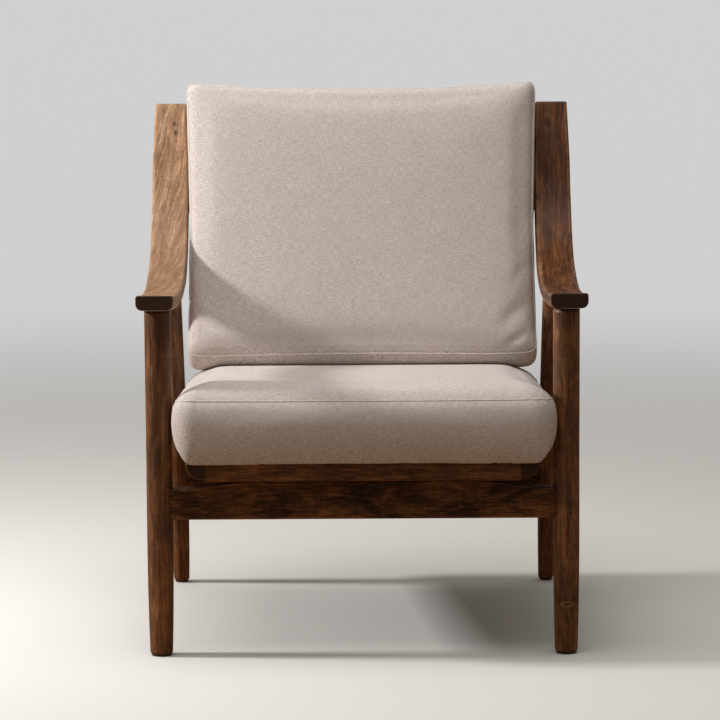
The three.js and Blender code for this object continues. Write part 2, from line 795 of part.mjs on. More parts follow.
function addSeatFrame() {
  const frontRail = withoutAll(crossRail(-seatFrontReach, frontRailDepth), [...screwHoles, ...dowelHoles]);
  const rearRail = withoutAll(crossRail(rearRailFront, rearRailDepth), [...screwHoles, ...dowelHoles]);
  seat.add(part('seat_front_rail', frontRail, wood), part('seat_rear_rail', rearRail, wood));
  const blockFront = frontRailDepth - seatFrontReach + fitGap;
  const blockRear = rearRailFront - fitGap;
  for (const [word, side] of [['left', -1], ['right', 1]]) {
    seat.add(
      part(`seat_side_rail_${word}`, withoutAll(sideRailBlank(side), dowelHoles), wood),
      part(`corner_block_front_${word}`, cornerBlock(side, blockFront, 1), wood),
      part(`corner_block_rear_${word}`, cornerBlock(side, blockRear, -1), wood));
  }
  dowelPlaces.forEach((place, count) => seat.add(part(`frame_dowel_${count + 1}`, dowel(place, 0), wood)));
  screwPlaces.forEach((place, count) => seat.add(part(`frame_screw_${count + 1}`, screwAt(place, 0), steel)));
}

function addWebbing() {
  const length = 2 * (railInnerX + strapLanding);
  const first = frontRailDepth - seatFrontReach + strapMargin + strapWidth / 2;
  const last = rearRailFront - strapMargin - strapWidth / 2;
  for (let count = 0; count < strapCount; count += 1) {
    const y = first + (count / (strapCount - 1)) * (last - first);
    const band = block(length, strapWidth, strapThickness, 0, 0, strapThickness / 2);
    const strap = part(`webbing_strap_${count + 1}`, band, webbing);
    strap.position.set(0, y, seatRailHeight + fitGap);
    seat.add(strap);
  }
}

function addBackFrame() {
  const slots = slatPlaces.map((x) => slat(x, fitGap));
  back.add(
    part('back_crest_rail', withoutAll(backRail(crest), slots), wood),
    part('back_lower_rail', withoutAll(backRail(lower), slots), wood));
  slatPlaces.forEach((x, count) => back.add(part(`back_slat_${count + 1}`, slat(x, 0), wood)));
}

function addCushion(group, word, set) {
  group.add(
    part(`${word}_cushion_cover`, set.cover, fabric),
    part(`${word}_cushion_foam`, set.foam, foamStuff),
    part(`${word}_cushion_zip`, set.zip, zipStuff));
}

addArmsAndLegs();
addStretchers();
addSeatFrame();
addWebbing();
addBackFrame();
addCushion(seatCushion, 'seat', cushionSet(seatForm, seatZip, (solid) => solid));
addCushion(backCushion, 'back', cushionSet(backForm, backZip, trimOnSeat));

// The origin lies on the floor, under the middle of the whole chair.
chair.updateMatrixWorld(true);
const middle = new THREE.Box3().setFromObject(chair, true).getCenter(new THREE.Vector3());
chair.position.y = -middle.y;

export default chair;
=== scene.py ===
"""Dresses the fireside chair: bent arm boards on round legs, a webbed seat frame and two loose cushions.

Lengths are metres in the frame's own axes: the floor is z = 0 and the front faces -y. A shape is a
function of two parameters worked out as whole arrays, and each function says its formula in words.
"""

import json
import math

import bpy
import numpy as np
from mathutils import Matrix, Vector


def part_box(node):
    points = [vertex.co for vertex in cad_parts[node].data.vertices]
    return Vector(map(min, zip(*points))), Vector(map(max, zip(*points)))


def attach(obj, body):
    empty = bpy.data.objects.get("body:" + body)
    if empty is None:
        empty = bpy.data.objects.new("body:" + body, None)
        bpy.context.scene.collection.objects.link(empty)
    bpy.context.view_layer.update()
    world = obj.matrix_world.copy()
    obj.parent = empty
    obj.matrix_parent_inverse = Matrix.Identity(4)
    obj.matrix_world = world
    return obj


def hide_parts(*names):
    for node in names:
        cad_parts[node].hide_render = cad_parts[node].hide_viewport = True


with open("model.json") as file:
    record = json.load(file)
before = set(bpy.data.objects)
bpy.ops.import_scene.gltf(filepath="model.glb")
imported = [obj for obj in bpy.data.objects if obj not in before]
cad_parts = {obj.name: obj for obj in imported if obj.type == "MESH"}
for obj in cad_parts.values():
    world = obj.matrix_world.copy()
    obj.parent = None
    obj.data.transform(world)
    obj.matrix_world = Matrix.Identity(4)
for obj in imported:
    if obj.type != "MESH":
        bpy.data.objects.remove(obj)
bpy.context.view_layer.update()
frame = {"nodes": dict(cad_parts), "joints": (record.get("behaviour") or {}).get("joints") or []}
MM = 0.001
FULL_TURN = 2 * math.pi
SIDES = (("left", -1), ("right", 1))


def middle_of(node):
    low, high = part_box(node)
    return (Vector(low) + Vector(high)) / 2


# Places taken from the frame.
joint_axes = {joint["name"]: joint["axis"] for joint in frame["joints"]}
seat_pitch = math.asin(joint_axes["seat_cushion_slide"][2])
recline = math.asin(joint_axes["back_cushion_slide"][1])
front_leg_x, front_leg_y = middle_of("front_leg_right")[:2]
rear_leg_x = middle_of("rear_leg_right").x
arm_x = middle_of("arm_right").x
rail_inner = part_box("seat_side_rail_right")[0][0]
fit_gap = 0.3 * MM

# Arm board: the stations give run share, rise share, width and depth.
arm_run, arm_overhang = 600 * MM, 40 * MM
arm_low_height, arm_rise = 527 * MM, 261 * MM
arm_stations = np.array([
    (0.000, 0.080, 56.0, 22.5),
    (0.150, 0.041, 56.0, 22.5),
    (0.438, 0.000, 57.0, 25.0),
    (0.622, 0.042, 57.5, 33.0),
    (0.758, 0.134, 57.5, 44.0),
    (0.858, 0.322, 57.5, 44.0),
    (0.905, 0.490, 57.0, 44.0),
    (0.942, 0.693, 56.0, 38.0),
    (1.000, 1.000, 50.5, 29.0),
])
arm_upper_round, arm_lower_round, arm_least_round, arm_end_ease = 4 * MM, 10 * MM, 1 * MM, 2 * MM

# Legs: height shares with radii, the base between the foot axes and where the rear legs meet the arms.
front_leg_profile = np.array([(0, 17.0), (0.12, 18.56), (0.3, 19.6), (0.6, 19.6), (1, 20.0)])
rear_leg_profile = np.array([(0, 12.5), (0.12, 14.3), (0.3, 15.5), (0.6, 15.5), (1, 13.5)])
front_leg_radius, rear_leg_radius = 19.6 * MM, 15.5 * MM
leg_base, rear_leg_top = 600 * MM, 392 * MM
glide_height, foot_ease, sole_shares = 3 * MM, 1.5 * MM, 0.25 + 0.63 * np.array([0, 10 / 17, 1])

# Stretchers: a raised middle along the crown shares (across, up).
crown_shares = np.array([(0, 1), (0.54, 1), (0.62, 0.97), (0.72, 0.72), (0.82, 0.35), (0.87, 0.19), (1, 0)])
front_board = {"thick": 24 * MM, "crown": 264 * MM, "rise": 10.5 * MM, "height": 46.5 * MM}
rear_board = {"thick": 20 * MM, "crown": 239 * MM, "rise": 11 * MM, "height": 46 * MM}
board_ease, board_end_round = 3 * MM, 5 * MM

# Side rails of the seat frame, measured from its corner point on the front stretcher.
rail_width, rail_height, rail_lift, rail_round = 28 * MM, 28 * MM, 3.5 * MM, 22 * MM
seat_front_reach, rail_ease = 50 * MM, 2 * MM
seat_origin = (0, front_leg_y + front_board["thick"] / 2, front_board["crown"] + fit_gap)


# ---------------------------------------------------------------- curves and grids

def unit(ways):
    return ways / np.linalg.norm(ways, axis=-1, keepdims=True)


def stacked(*parts):
    """Parts of one shape, or stretched to one, as the last axis of an array."""
    return np.stack(np.broadcast_arrays(*parts), -1)


def run_along(points):
    """Distance along a line of points, from the first to each."""
    return np.concatenate([[0], np.cumsum(np.linalg.norm(np.diff(points, axis=0), axis=1))])


def curve_through(points, shares, power):
    """A cubic between each pair of points, whose end slopes weigh the chords on both sides, with the knots
    spaced by chord length to a power. Returns the places and the slopes at the shares of the whole."""
    points = np.asarray(points, float)
    padded = np.vstack([2 * points[0] - points[1], points, 2 * points[-1] - points[-2]])
    spans = len(points) - 1
    place = np.clip(shares, 0, 1) * spans
    first = np.minimum(place.astype(int), spans - 1)
    t = (place - first)[:, None]
    p0, p1, p2, p3 = (padded[first + step] for step in range(4))
    d0, d1, d2 = (np.linalg.norm(b - a, axis=1, keepdims=True) ** power for a, b in ((p0, p1), (p1, p2), (p2, p3)))
    m1 = ((p1 - p0) / d0 - (p2 - p0) / (d0 + d1) + (p2 - p1) / d1) * d1
    m2 = ((p2 - p1) / d1 - (p3 - p1) / (d1 + d2) + (p3 - p2) / d2) * d1
    a, b = 2 * p1 - 2 * p2 + m1 + m2, 3 * p2 - 3 * p1 - 2 * m1 - m2
    return ((a * t + b) * t + m1) * t + p1, (3 * a * t + 2 * b) * t + m1


def smooth_values(pairs, at, count=None):
    """Reads value against place from pairs, along the smooth curve through them, taken at count places."""
    dense, _ = curve_through(pairs, np.linspace(0, 1, count or 40 * len(pairs)), 0.5)
    return np.interp(at, dense[:, 0], dense[:, 1])


flat_shares = np.array([0.03, 0.12, 0.3, 0.5, 0.7, 0.88, 0.97])
edge_fade = 2.5 * MM


def rounded_outline(corners, steps=6):
    """A closed outline through corners (x, y, radius): an arc at each corner, and points at the flat shares
    between arcs. Also returns each point's edge value, 1 on an arc and fading over the flat."""
    corners = np.asarray(corners, float)
    here, radius = corners[:, :2], np.maximum(corners[:, 2:], 1e-5)
    back, on = (unit(np.roll(here, step, 0) - here) for step in (1, -1))
    half = np.arccos(np.clip((back * on).sum(1, keepdims=True), -1, 1)) / 2
    centre = here + unit(back + on) * radius / np.sin(half)
    start, end = (here + way * radius / np.tan(half) - centre for way in (back, on))
    low, high = (np.arctan2(spot[:, 1:], spot[:, :1]) for spot in (start, end))
    turn = (high - low + math.pi) % FULL_TURN - math.pi
    angles = low + turn * np.linspace(0, 1, steps + 1)
    arcs = centre[:, None] + radius[:, None] * stacked(np.cos(angles), np.sin(angles))
    span = np.roll(arcs[:, :1], -1, 0) - arcs[:, -1:]
    gap = np.minimum(flat_shares, 1 - flat_shares) * np.linalg.norm(span, axis=2)
    points = np.concatenate([arcs, arcs[:, -1:] + flat_shares[:, None] * span], 1)
    return points.reshape(-1, 2), np.concatenate([np.ones(angles.shape), np.exp(-gap / edge_fade)], 1).ravel()


def oblong(half, low, high, low_round, high_round, steps=6):
    """A rounded outline from -half to half across and from low to high."""
    return rounded_outline([
        (-half, low, low_round), (half, low, low_round), (half, high, high_round), (-half, high, high_round)], steps)


def linked(name, data):
    piece = bpy.data.objects.new(name, data)
    bpy.context.scene.collection.objects.link(piece)
    return piece


def inside_out(verts, blocks):
    """Whether the volume that blocks of faces close counts as negative."""
    volume = 0
    for block in blocks:
        first, *rest = (verts[block[:, step]] for step in range(block.shape[1]))
        volume += sum(np.einsum("ij,ij->", first, np.cross(b, c)) for b, c in zip(rest, rest[1:]))
    return volume < 0


def put_mesh(name, verts, faces, material, body, slot, stands_for=()):
    """Puts arrays of points and faces into a piece at the origin, with its faces turned outwards."""
    if inside_out(verts, faces):
        faces = [np.roll(block[:, ::-1], 1, 1) for block in faces]
    mesh = bpy.data.meshes.new(name)
    mesh.from_pydata(verts.tolist(), [], [face for block in faces for face in block.tolist()])
    mesh.validate()
    mesh.shade_smooth()
    mesh.materials.append(material)
    piece = linked(name, mesh)
    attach(piece, body)
    if stands_for:
        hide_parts(*stands_for)
    return piece


def give(piece, name, values):
    """Writes a number or a vector for each point of a piece, for its material to read."""
    values = np.asarray(values, float)
    kind, key = ("FLOAT_VECTOR", "vector") if values.ndim == 2 else ("FLOAT", "value")
    piece.data.attributes.new(name, kind, "POINT").data.foreach_set(key, values.ravel())


def with_poles(values):
    """Values of the rings' points, with the mean of the first and of the last ring for the two poles."""
    return np.concatenate([values.reshape((-1,) + values.shape[2:]), values[:1].mean(1), values[-1:].mean(1)])


def skin(rings):
    """A closed skin over rings of equal count: quads between neighbours, and a fan to a pole at each end."""
    rows, count = rings.shape[:2]
    step = np.arange(count)
    following = (step + 1) % count
    low = (np.arange(rows - 1) * count)[:, None]
    quads = np.stack([low + step, low + following, low + count + following, low + count + step], -1).reshape(-1, 4)
    top, pole = (rows - 1) * count, rows * count
    fans = np.vstack([stacked(pole, following, step), stacked(pole + 1, top + step, top + following)])
    return with_poles(rings), [quads, fans]


def skinned(name, rings, material, body, slot, stands_for=(), **values):
    """A piece with a closed skin over rings, and values for its points that its material reads."""
    piece = put_mesh(name, *skin(rings), material, body, slot, stands_for)
    for key, value in values.items():
        value = np.asarray(value, float)
        give(piece, key, with_poles(value if value.ndim == 3 else np.broadcast_to(value, rings.shape[:2])))
    return piece


def turned_about_x(points, angle, origin):
    """Rows of points turned about the x axis by an angle and moved to an origin."""
    cos, sin = math.cos(angle), math.sin(angle)
    return points @ np.array([(1, 0, 0), (0, cos, sin), (0, -sin, cos)]) + np.asarray(origin)


def apart(points):
    """The x, y and z of points, each in an array of its own."""
    return np.moveaxis(np.asarray(points, float), -1, 0)


def quarter(share):
    """Rise of a quarter round of radius 1 over a share of its width."""
    return np.sqrt(1 - (1 - np.clip(share, 0, 1)) ** 2)


def mirrored(part, sign=1):
    return np.concatenate([part, sign * part[::-1]])


def shrunk(ring, shares):
    """Copies of a ring, drawn towards its middle to each share of its size."""
    return ring.mean(0) + (ring - ring.mean(0)) * np.reshape(shares, (-1, 1, 1))


def eased_end(caps, ease, plain):
    """Half of a board's sections from its end inwards: caps of the given size shares in the plane of the end,
    three steps over a quarter round, and plain ones. Returns each section's way out, inset and size share."""
    angles = np.linspace(math.pi / 2, 0, 4)[:-1]
    full, rest = np.full(len(caps), ease), np.zeros(plain)
    return (np.concatenate([full, ease * np.sin(angles), rest]),
            np.concatenate([full, ease * (1 - np.cos(angles)), rest]),
            np.concatenate([caps, np.ones(3 + plain)]))


def sections(outline_at, *lists):
    """Outlines with their edge values, one for each set of values."""
    outlines, edges = zip(*(outline_at(*values) for values in zip(*lists)))
    return np.array(outlines), np.array(edges)


def circle(count):
    """Cosines and sines of angles evenly round a circle."""
    angles = np.linspace(0, FULL_TURN, count, endpoint=False)
    return np.cos(angles), np.sin(angles)


# ---------------------------------------------------------------- node helpers

class Nodes:
    """Adds nodes to a tree. Most methods return the new node's output, and all take numbers or outputs."""

    def __init__(self, tree):
        self.tree = tree

    def fill(self, socket, value):
        if isinstance(value, bpy.types.NodeSocket):
            self.tree.links.new(value, socket)
        else:
            socket.default_value = value

    def add(self, kind, settings=(), values=(), **sockets):
        """A node with its properties set, and its sockets filled in order and by name."""
        made = self.tree.nodes.new("ShaderNode" + kind)
        for key, value in dict(settings).items():
            setattr(made, key, value)
        for socket, value in zip(made.inputs, values):
            self.fill(socket, value)
        for key, value in sockets.items():
            self.fill(made.inputs[key.replace("_", " ")], value)
        return made

    def math(self, operation, *values):
        return self.add("Math", {"operation": operation}, values).outputs[0]

    def weighed(self, *parts):
        """The sum of values times their weights."""
        total, *rest = (self.math("MULTIPLY", value, weight) for value, weight in parts)
        for term in rest:
            total = self.math("ADD", total, term)
        return total

    def wave(self, value, factor=1.0):
        return self.math("SINE", self.math("MULTIPLY", value, factor))

    def vector(self, operation, *values, output="Vector"):
        return self.add("VectorMath", {"operation": operation}, values).outputs[output]

    def noise(self, place, scale, detail=3.0, roughness=0.55, distortion=0.0):
        """Noise at a place whose three parts are first multiplied by the scale, one number or three."""
        if isinstance(scale, tuple):
            place, scale = self.vector("MULTIPLY", place, scale), 1.0
        return self.add("TexNoise", Vector=place, Scale=scale, Detail=detail, Roughness=roughness,
                        Distortion=distortion).outputs["Fac"]

    def ramp(self, value, low, high, start=0.0, end=1.0):
        """Maps value from low..high to start..end with soft ends."""
        return self.add("MapRange", {"interpolation_type": "SMOOTHSTEP"}, (value, low, high, start, end)).outputs[0]

    def mixed(self, share, first, second):
        made = self.add("Mix", {"data_type": "RGBA"})
        for index, value in ((0, share), (6, first), (7, second)):
            self.fill(made.inputs[index], value)
        return made.outputs[2]

    def layered(self, base, *layers):
        """A base with colours laid over it. A layer (..., colour) shows as far as the ramp of its first
        values says."""
        for *reach, tint in layers:
            base = self.mixed(self.ramp(*reach), base, tint)
        return base

    def bump(self, height, distance, strength):
        return self.add("Bump", Height=height, Distance=distance, Strength=strength).outputs["Normal"]


class Paint(Nodes):
    """A new material's nodes, with its shader."""

    def __init__(self, name):
        self.material = bpy.data.materials.new(name)
        self.material.use_nodes = True
        super().__init__(self.material.node_tree)
        self.tree.nodes.clear()
        self.shader = self.add("BsdfPrincipled")
        self.output = self.add("OutputMaterial", Surface=self.shader.outputs["BSDF"])

    def read(self, name, output="Vector"):
        """Values given to the piece's points."""
        return self.add("Attribute", {"attribute_name": name}).outputs[output]

    def place(self):
        return self.add("TexCoord").outputs["Object"]

    def parts(self, place):
        """A vector's parts along x and y."""
        return self.add("SeparateXYZ", Vector=place).outputs[:2]

    def done(self, **sockets):
        """Fills the shader's sockets by their names."""
        for key, value in sockets.items():
            self.fill(self.shader.inputs[key.replace("_", " ")], value)
        return self.material


def colour(red, green, blue):
    """A colour given as it shows on a screen, 0 to 255, turned to linear light."""
    shares = np.array([red, green, blue]) / 255
    linear = np.where(shares <= 0.04045, shares / 12.92, ((shares + 0.055) / 1.055) ** 2.4)
    return (*linear.tolist(), 1.0)


# ---------------------------------------------------------------- materials

# Stains from light to dark: the left arm; the right arm's darker copy of it, painted shade from the cushion beside
# it;
# the legs and rails; and the stretchers' darker copy, painted shade from the seat above them.
arm_stain = colour(222, 184, 147), colour(196, 157, 122), colour(130, 95, 68)
painted_shade_arm_stain = colour(152, 97, 54), colour(110, 63, 30), colour(64, 35, 14)
frame_stain = colour(176, 120, 72), colour(138, 88, 48), colour(74, 43, 22)
painted_shade_stretcher_stain = colour(160, 106, 58), colour(104, 62, 30), colour(34, 19, 9)
bare_stain = colour(214, 186, 146), colour(196, 164, 122), colour(168, 132, 92)
wood_fleck, wood_end, wood_worn = colour(40, 24, 15), colour(62, 41, 30), colour(178, 134, 98)
# How far a knot is squeezed along the board, and the strength of its pale halo.
long_knot, flat_knot = 0.62, 2.4
knot_halo = {long_knot: 0.06, flat_knot: 0.35}


def wood_material(name, stain, worn=0.6, turn=None, knots=(), slant=0.0, patches=0.55, gloss=0.2, painted_shade_start=None):
    """Stained hardwood. Long fibres, soft blotches across them, short dark flecks and pores, worn lighter
    edges and dark end grain. It reads the straightened board's own place, length first, or for a CAD
    board the object's place turned by turn. stain is light, middle and dark, worn says how far the edges
    are rubbed, knots are (place, radius, squeeze along the board) in that space, slant is how far the
    fibres run across for each metre along, patches is the blotches' share of the shading, gloss is the
    shine, and dim is (from, to, share), painted shade: the board is darker by the share at its start and
    fades back to the stain over that stretch."""
    paint = Paint(name)
    light, middle, dark = stain
    if turn is None:
        place = paint.read("board")
    else:
        place = paint.add("Mapping", {"vector_type": "POINT"}, Vector=paint.place(), Rotation=turn).outputs[0]
    length, _ = paint.parts(place)
    wander = paint.noise(place, (5.0, 22.0, 22.0), 2.0)
    push = paint.add("CombineXYZ", Y=paint.weighed((wander, 0.03), (length, -slant))).outputs[0]
    shifted = paint.vector("ADD", place, push)
    fibre = paint.noise(shifted, (26.0, 520.0, 520.0), 4.0, 0.65)
    streak = paint.noise(shifted, (7.0, 120.0, 120.0), 3.0, 0.6)
    blotch = paint.noise(place, (16.0, 34.0, 34.0), 4.0, 0.6, 0.6)
    cross = paint.noise(place, (260.0, 30.0, 30.0), 3.0, 0.6)
    fleck = paint.noise(shifted, (170.0, 800.0, 800.0), 2.0, 0.5)
    pores = paint.noise(shifted, (90.0, 1500.0, 1500.0), 1.0, 0.5)
    strand = paint.noise(shifted, (40.0, 380.0, 380.0), 2.0, 0.6)
    nick = paint.noise(shifted, (50.0, 210.0, 210.0), 1.0, 0.5)
    shade = paint.weighed((streak, 1 - patches), (blotch, patches))
    base = paint.layered(
        dark,
        (shade, 0.38, 0.60, middle), (shade, 0.50, 0.70, 0.0, 0.9, light),
        (fibre, 0.36, 0.62, 0.55, 0.0, dark), (fibre, 0.52, 0.70, 0.0, 0.35, light),
        (strand, 0.34, 0.50, 0.36, 0.0, dark), (strand, 0.52, 0.68, 0.0, 0.24, light),
        (cross, 0.46, 0.70, 0.0, 0.30, dark),
        (fleck, 0.60, 0.68, 0.0, 0.65, wood_fleck), (pores, 0.58, 0.66, 0.0, 0.35, wood_fleck),
        # Painted shade: the board is darker at its start and fades over the dim stretch.
        *([(length, *painted_shade_start, 0.0, dark)] if painted_shade_start else []),
        (nick, 0.80, 0.86, 0.0, 0.5 * worn, wood_worn))
    for (x, y, z), radius, squeeze in knots:
        away = paint.vector("DISTANCE", paint.vector("MULTIPLY", place, (squeeze, 1.0, 1.0)), (x * squeeze, y, z),
                            output="Value")
        reach = paint.weighed((away, 1.0), (cross, 0.3 * radius))
        rim = paint.math("ABSOLUTE", paint.math("SUBTRACT", reach, 1.5 * radius))
        base = paint.layered(
            base, (rim, 0.0, 0.6 * radius, knot_halo[squeeze], 0.0, wood_worn),
            (reach, 0.3 * radius, 1.4 * radius, 0.8, 0.0, wood_fleck))
    if turn is None:
        rubbed = paint.math("MULTIPLY", paint.ramp(paint.read("edge", "Fac"), 0.45, 1.0),
                            paint.ramp(blotch, 0.40, 0.62, 0.15 * worn, worn))
        base = paint.mixed(rubbed, base, wood_worn)
        sawn = paint.layered(wood_end, (paint.noise(place, (40.0, 260.0, 700.0)), 0.35, 0.65, wood_fleck))
        base = paint.mixed(paint.math("MULTIPLY", paint.read("end", "Fac"), 0.92), base, sawn)
    return paint.done(
        Base_Color=base, Roughness=paint.ramp(fibre, 0.3, 0.7, 0.40, 0.56), Specular_IOR_Level=gloss,
        Normal=paint.bump(paint.weighed((fibre, 0.7), (pores, -0.6)), 0.25 * MM, 0.5))


fabric_light, fabric_mid, fabric_tan, fabric_dark = (
    colour(241, 235, 231), colour(218, 207, 201), colour(203, 186, 171), colour(159, 144, 135))
yarn = 1.05 * MM


def fabric_material(name, seam_highlight=0.0):
    """Linen-look twill. Yarns cross at right angles and each passes over two and under two, one step on in the
    next row, so the floats make fine slanting ribs. Every yarn is thick and thin, pale and dark, and
    wanders a little from its straight line. The ribs' low lines and the yarns' sunken edges are darkened,
    painted shade in the grooves. paleness is a painted highlight: it lifts a seam's cloth towards the
    lightest colour."""
    paint = Paint(name)
    place = paint.add("UVMap", {"uv_map": "cloth"}).outputs["UV"]
    wander = paint.math("SUBTRACT", paint.noise(place, (110.0, 110.0, 1.0), 2.0), 0.5)
    across, up = (paint.math("ADD", paint.math("DIVIDE", part, yarn), paint.math("MULTIPLY", wander, push))
                  for part, push in zip(paint.parts(place), (1.1, -0.7)))
    rib = paint.wave(paint.math("SUBTRACT", across, up), math.pi / 2)
    over = paint.ramp(rib, -0.35, 0.35)
    round_across, round_up = (paint.math("ABSOLUTE", paint.wave(way, math.pi)) for way in (across, up))
    high = paint.mixed(over, round_up, round_across)
    lying = paint.noise(place, (110.0, 760.0, 1.0), 3.0, 0.6)
    standing = paint.noise(place, (760.0, 110.0, 1.0), 3.0, 0.6)
    cloud = paint.noise(place, (28.0, 28.0, 1.0), 3.0, 0.5)
    grain = paint.noise(place, (420.0, 420.0, 1.0), 3.0, 0.7)
    fuzz = paint.noise(place, (2600.0, 2600.0, 1.0), 2.0)
    base = paint.mixed(over, paint.layered(fabric_dark, (lying, 0.36, 0.64, fabric_light)),
                       paint.layered(fabric_tan, (standing, 0.36, 0.64, fabric_light)))
    # Plain cloth takes a quarter of the middle colour. With paleness the cloth is lifted most of the way to the
    # lightest colour: a painted highlight for the seams.
    base = paint.mixed(0.25 + 0.5 * seam_highlight, base, fabric_light if seam_highlight else fabric_mid)
    # The rib's low lines and the yarns' sunken edges are darkened: painted shade in the weave's grooves.
    base = paint.layered(
        base, (rib, -1.0, 0.5, 0.32, 0.0, fabric_dark), (cloud, 0.3, 0.7, 0.10, 0.0, fabric_dark),
        (high, 0.0, 0.5, 0.35, 0.0, fabric_dark), (grain, 0.30, 0.55, 0.28, 0.0, fabric_dark),
        (grain, 0.52, 0.72, 0.0, 0.30, fabric_light))
    return paint.done(
        Base_Color=base, Normal=paint.bump(paint.weighed((rib, 1.0), (high, 0.7), (fuzz, 0.25)), 0.25 * MM, 0.5),
        Roughness=paint.ramp(cloud, 0.2, 0.8, 0.86, 0.96), Sheen_Weight=0.2, Sheen_Roughness=0.5,
        Specular_IOR_Level=0.2)


def foam_material():
    """Cut foam: fine open cells, a little yellowed in soft clouds, and darker in the cells' hollows, which is painted
    shade.
    """
    paint = Paint("cut_foam")
    place = paint.place()
    cells = paint.add("TexVoronoi", Vector=place, Scale=900.0).outputs["Distance"]
    base = paint.layered(
        colour(238, 230, 204), (paint.noise(place, 9.0), 0.3, 0.7, colour(222, 208, 168)),
        # Darker in the cells' hollows: painted shade.
        (cells, 0.0, 0.35, 0.5, 0.0, colour(170, 152, 112)))
    return paint.done(Base_Color=base, Normal=paint.bump(cells, 0.4 * MM, 0.7), Roughness=0.95)


def webbing_material():
    """Elastic webbing: ribs along the strap with fine cross threads, and two paler stripes near the edges.
    It reads the strap's own length and width."""
    paint = Paint("elastic_webbing")
    place = paint.read("board")
    length, width = paint.parts(place)
    rib_pitch, cross_pitch, stripe_place = 2.4 * MM, 1.3 * MM, 17 * MM
    rib, thread = paint.wave(width, FULL_TURN / rib_pitch), paint.wave(length, FULL_TURN / cross_pitch)
    from_edge = paint.math("SUBTRACT", stripe_place, paint.math("ABSOLUTE", width))
    stripe = paint.ramp(paint.math("ABSOLUTE", from_edge), 1.2 * MM, 1.7 * MM, 1.0, 0.0)
    base = paint.layered(
        colour(38, 34, 32), (thread, -1.0, 1.0, colour(60, 55, 52)),
        (paint.noise(place, (60.0, 60.0, 60.0)), 0.35, 0.7, 0.0, 0.25, colour(96, 88, 80)))
    base = paint.mixed(paint.math("MULTIPLY", stripe, 0.8), base, colour(150, 138, 120))
    return paint.done(
        Base_Color=base, Normal=paint.bump(paint.weighed((rib, 0.7), (thread, 0.3)), 0.4 * MM, 0.8), Roughness=0.85)


def steel_material(marks_each_metre=900.0):
    """Plated steel with fine turning marks and small dull spots."""
    paint = Paint("zinc_steel")
    place = paint.place()
    marks = paint.noise(place, (marks_each_metre, marks_each_metre, 6 * marks_each_metre))
    spots = paint.noise(place, (marks_each_metre / 2,) * 3)
    return paint.done(
        Base_Color=paint.layered(colour(176, 172, 164), (spots, 0.4, 0.7, colour(118, 112, 104))),
        Roughness=paint.ramp(marks, 0.3, 0.7, 0.28, 0.5), Normal=paint.bump(marks, 0.05 * MM, 0.4), Metallic=1.0)


def felt_material():
    """Pressed felt: short matted hairs in two sizes of noise."""
    paint = Paint("pressed_felt")
    place = paint.place()
    hairs = paint.noise(place, 1400.0, 4.0, 0.7, 1.5)
    base = paint.layered(
        colour(46, 40, 37), (hairs, 0.35, 0.65, colour(92, 82, 75)),
        (paint.noise(place, 260.0), 0.4, 0.7, 0.0, 0.4, colour(66, 58, 53)))
    return paint.done(Base_Color=base, Normal=paint.bump(hairs, 0.4 * MM, 0.9), Roughness=1.0, Sheen_Weight=0.3)


def tape_material():
    """Zip tape: a close herringbone weave, a shade darker than the cover, lighter on the ribs' crests and darker
    between them, which is painted highlight and shade.
    """
    paint = Paint("zip_tape")
    weave_pitch = 0.9 * MM
    length, width = paint.parts(paint.read("board"))
    rib = paint.wave(paint.math("ADD", length, paint.math("ABSOLUTE", width)), FULL_TURN / weave_pitch)
    return paint.done(
        # Lighter on the ribs' crests, darker in between: painted highlight and shade.
        Base_Color=paint.layered(colour(140, 126, 112), (rib, -0.8, 0.8, colour(176, 162, 147))),
        Normal=paint.bump(rib, 0.2 * MM, 0.7), Roughness=0.8)


def teeth_material():
    """Nylon zip coil, satin, with slight shade from tooth to tooth."""
    paint = Paint("zip_coil")
    shade = paint.noise(paint.place(), 500.0)
    return paint.done(
        Base_Color=paint.layered(colour(150, 136, 122), (shade, 0.35, 0.65, colour(184, 170, 155))),
        Roughness=paint.ramp(shade, 0.3, 0.7, 0.3, 0.5))


# ---------------------------------------------------------------- arms and legs

# Arms: stain, slant of the fibres, the stretch of painted shade at the front end, darker there and fading out,
# and knots (way down from the top, place across, radius) in mm.
arm_looks = {
    "left": (arm_stain, 0.2, (0.36, 0.62, 0.5), [(33, 6, 3.2), (48, 8, 3.8)]),
    # The right arm's darker copy of the stain is painted shade from the cushion beside it.
    "right": (painted_shade_arm_stain, 0.03, None, [(34, -6, 6.0)]),
}
# Knots in the front legs: (place, radius).
leg_knots = {"left": [], "right": [((77 * MM, 1 * MM, -15 * MM), 6.5 * MM)]}


def wooden(name, rings, node, material, **values):
    skinned(name, rings, material, "chair_frame", "wood", [node], **values)


def arm_places(shares):
    """The arm board's top line, its slope, and its width and depth, through the stations alike."""
    run, rise = arm_stations[:, :2].T
    line = stacked(0, run * arm_run - arm_overhang + front_leg_y, arm_low_height + rise * arm_rise)
    points, slopes = curve_through(line, shares, 0.5)
    sizes, _ = curve_through(arm_stations[:, 2:] * MM, shares, 0.0)
    return points, unit(slopes), sizes[:, 0], sizes[:, 1]


def arm_underline(start, end):
    """Places y and heights of the arm's underside between two shares: its curved line less its depth."""
    line, slopes, _, depths = arm_places(np.linspace(start, end, 400))
    return line[:, 1] + slopes[:, 2] * depths, line[:, 2] - slopes[:, 1] * depths


under_y, under_z = arm_underline(0, 0.8)


def arm_underside(y):
    return np.interp(y, under_y, under_z)


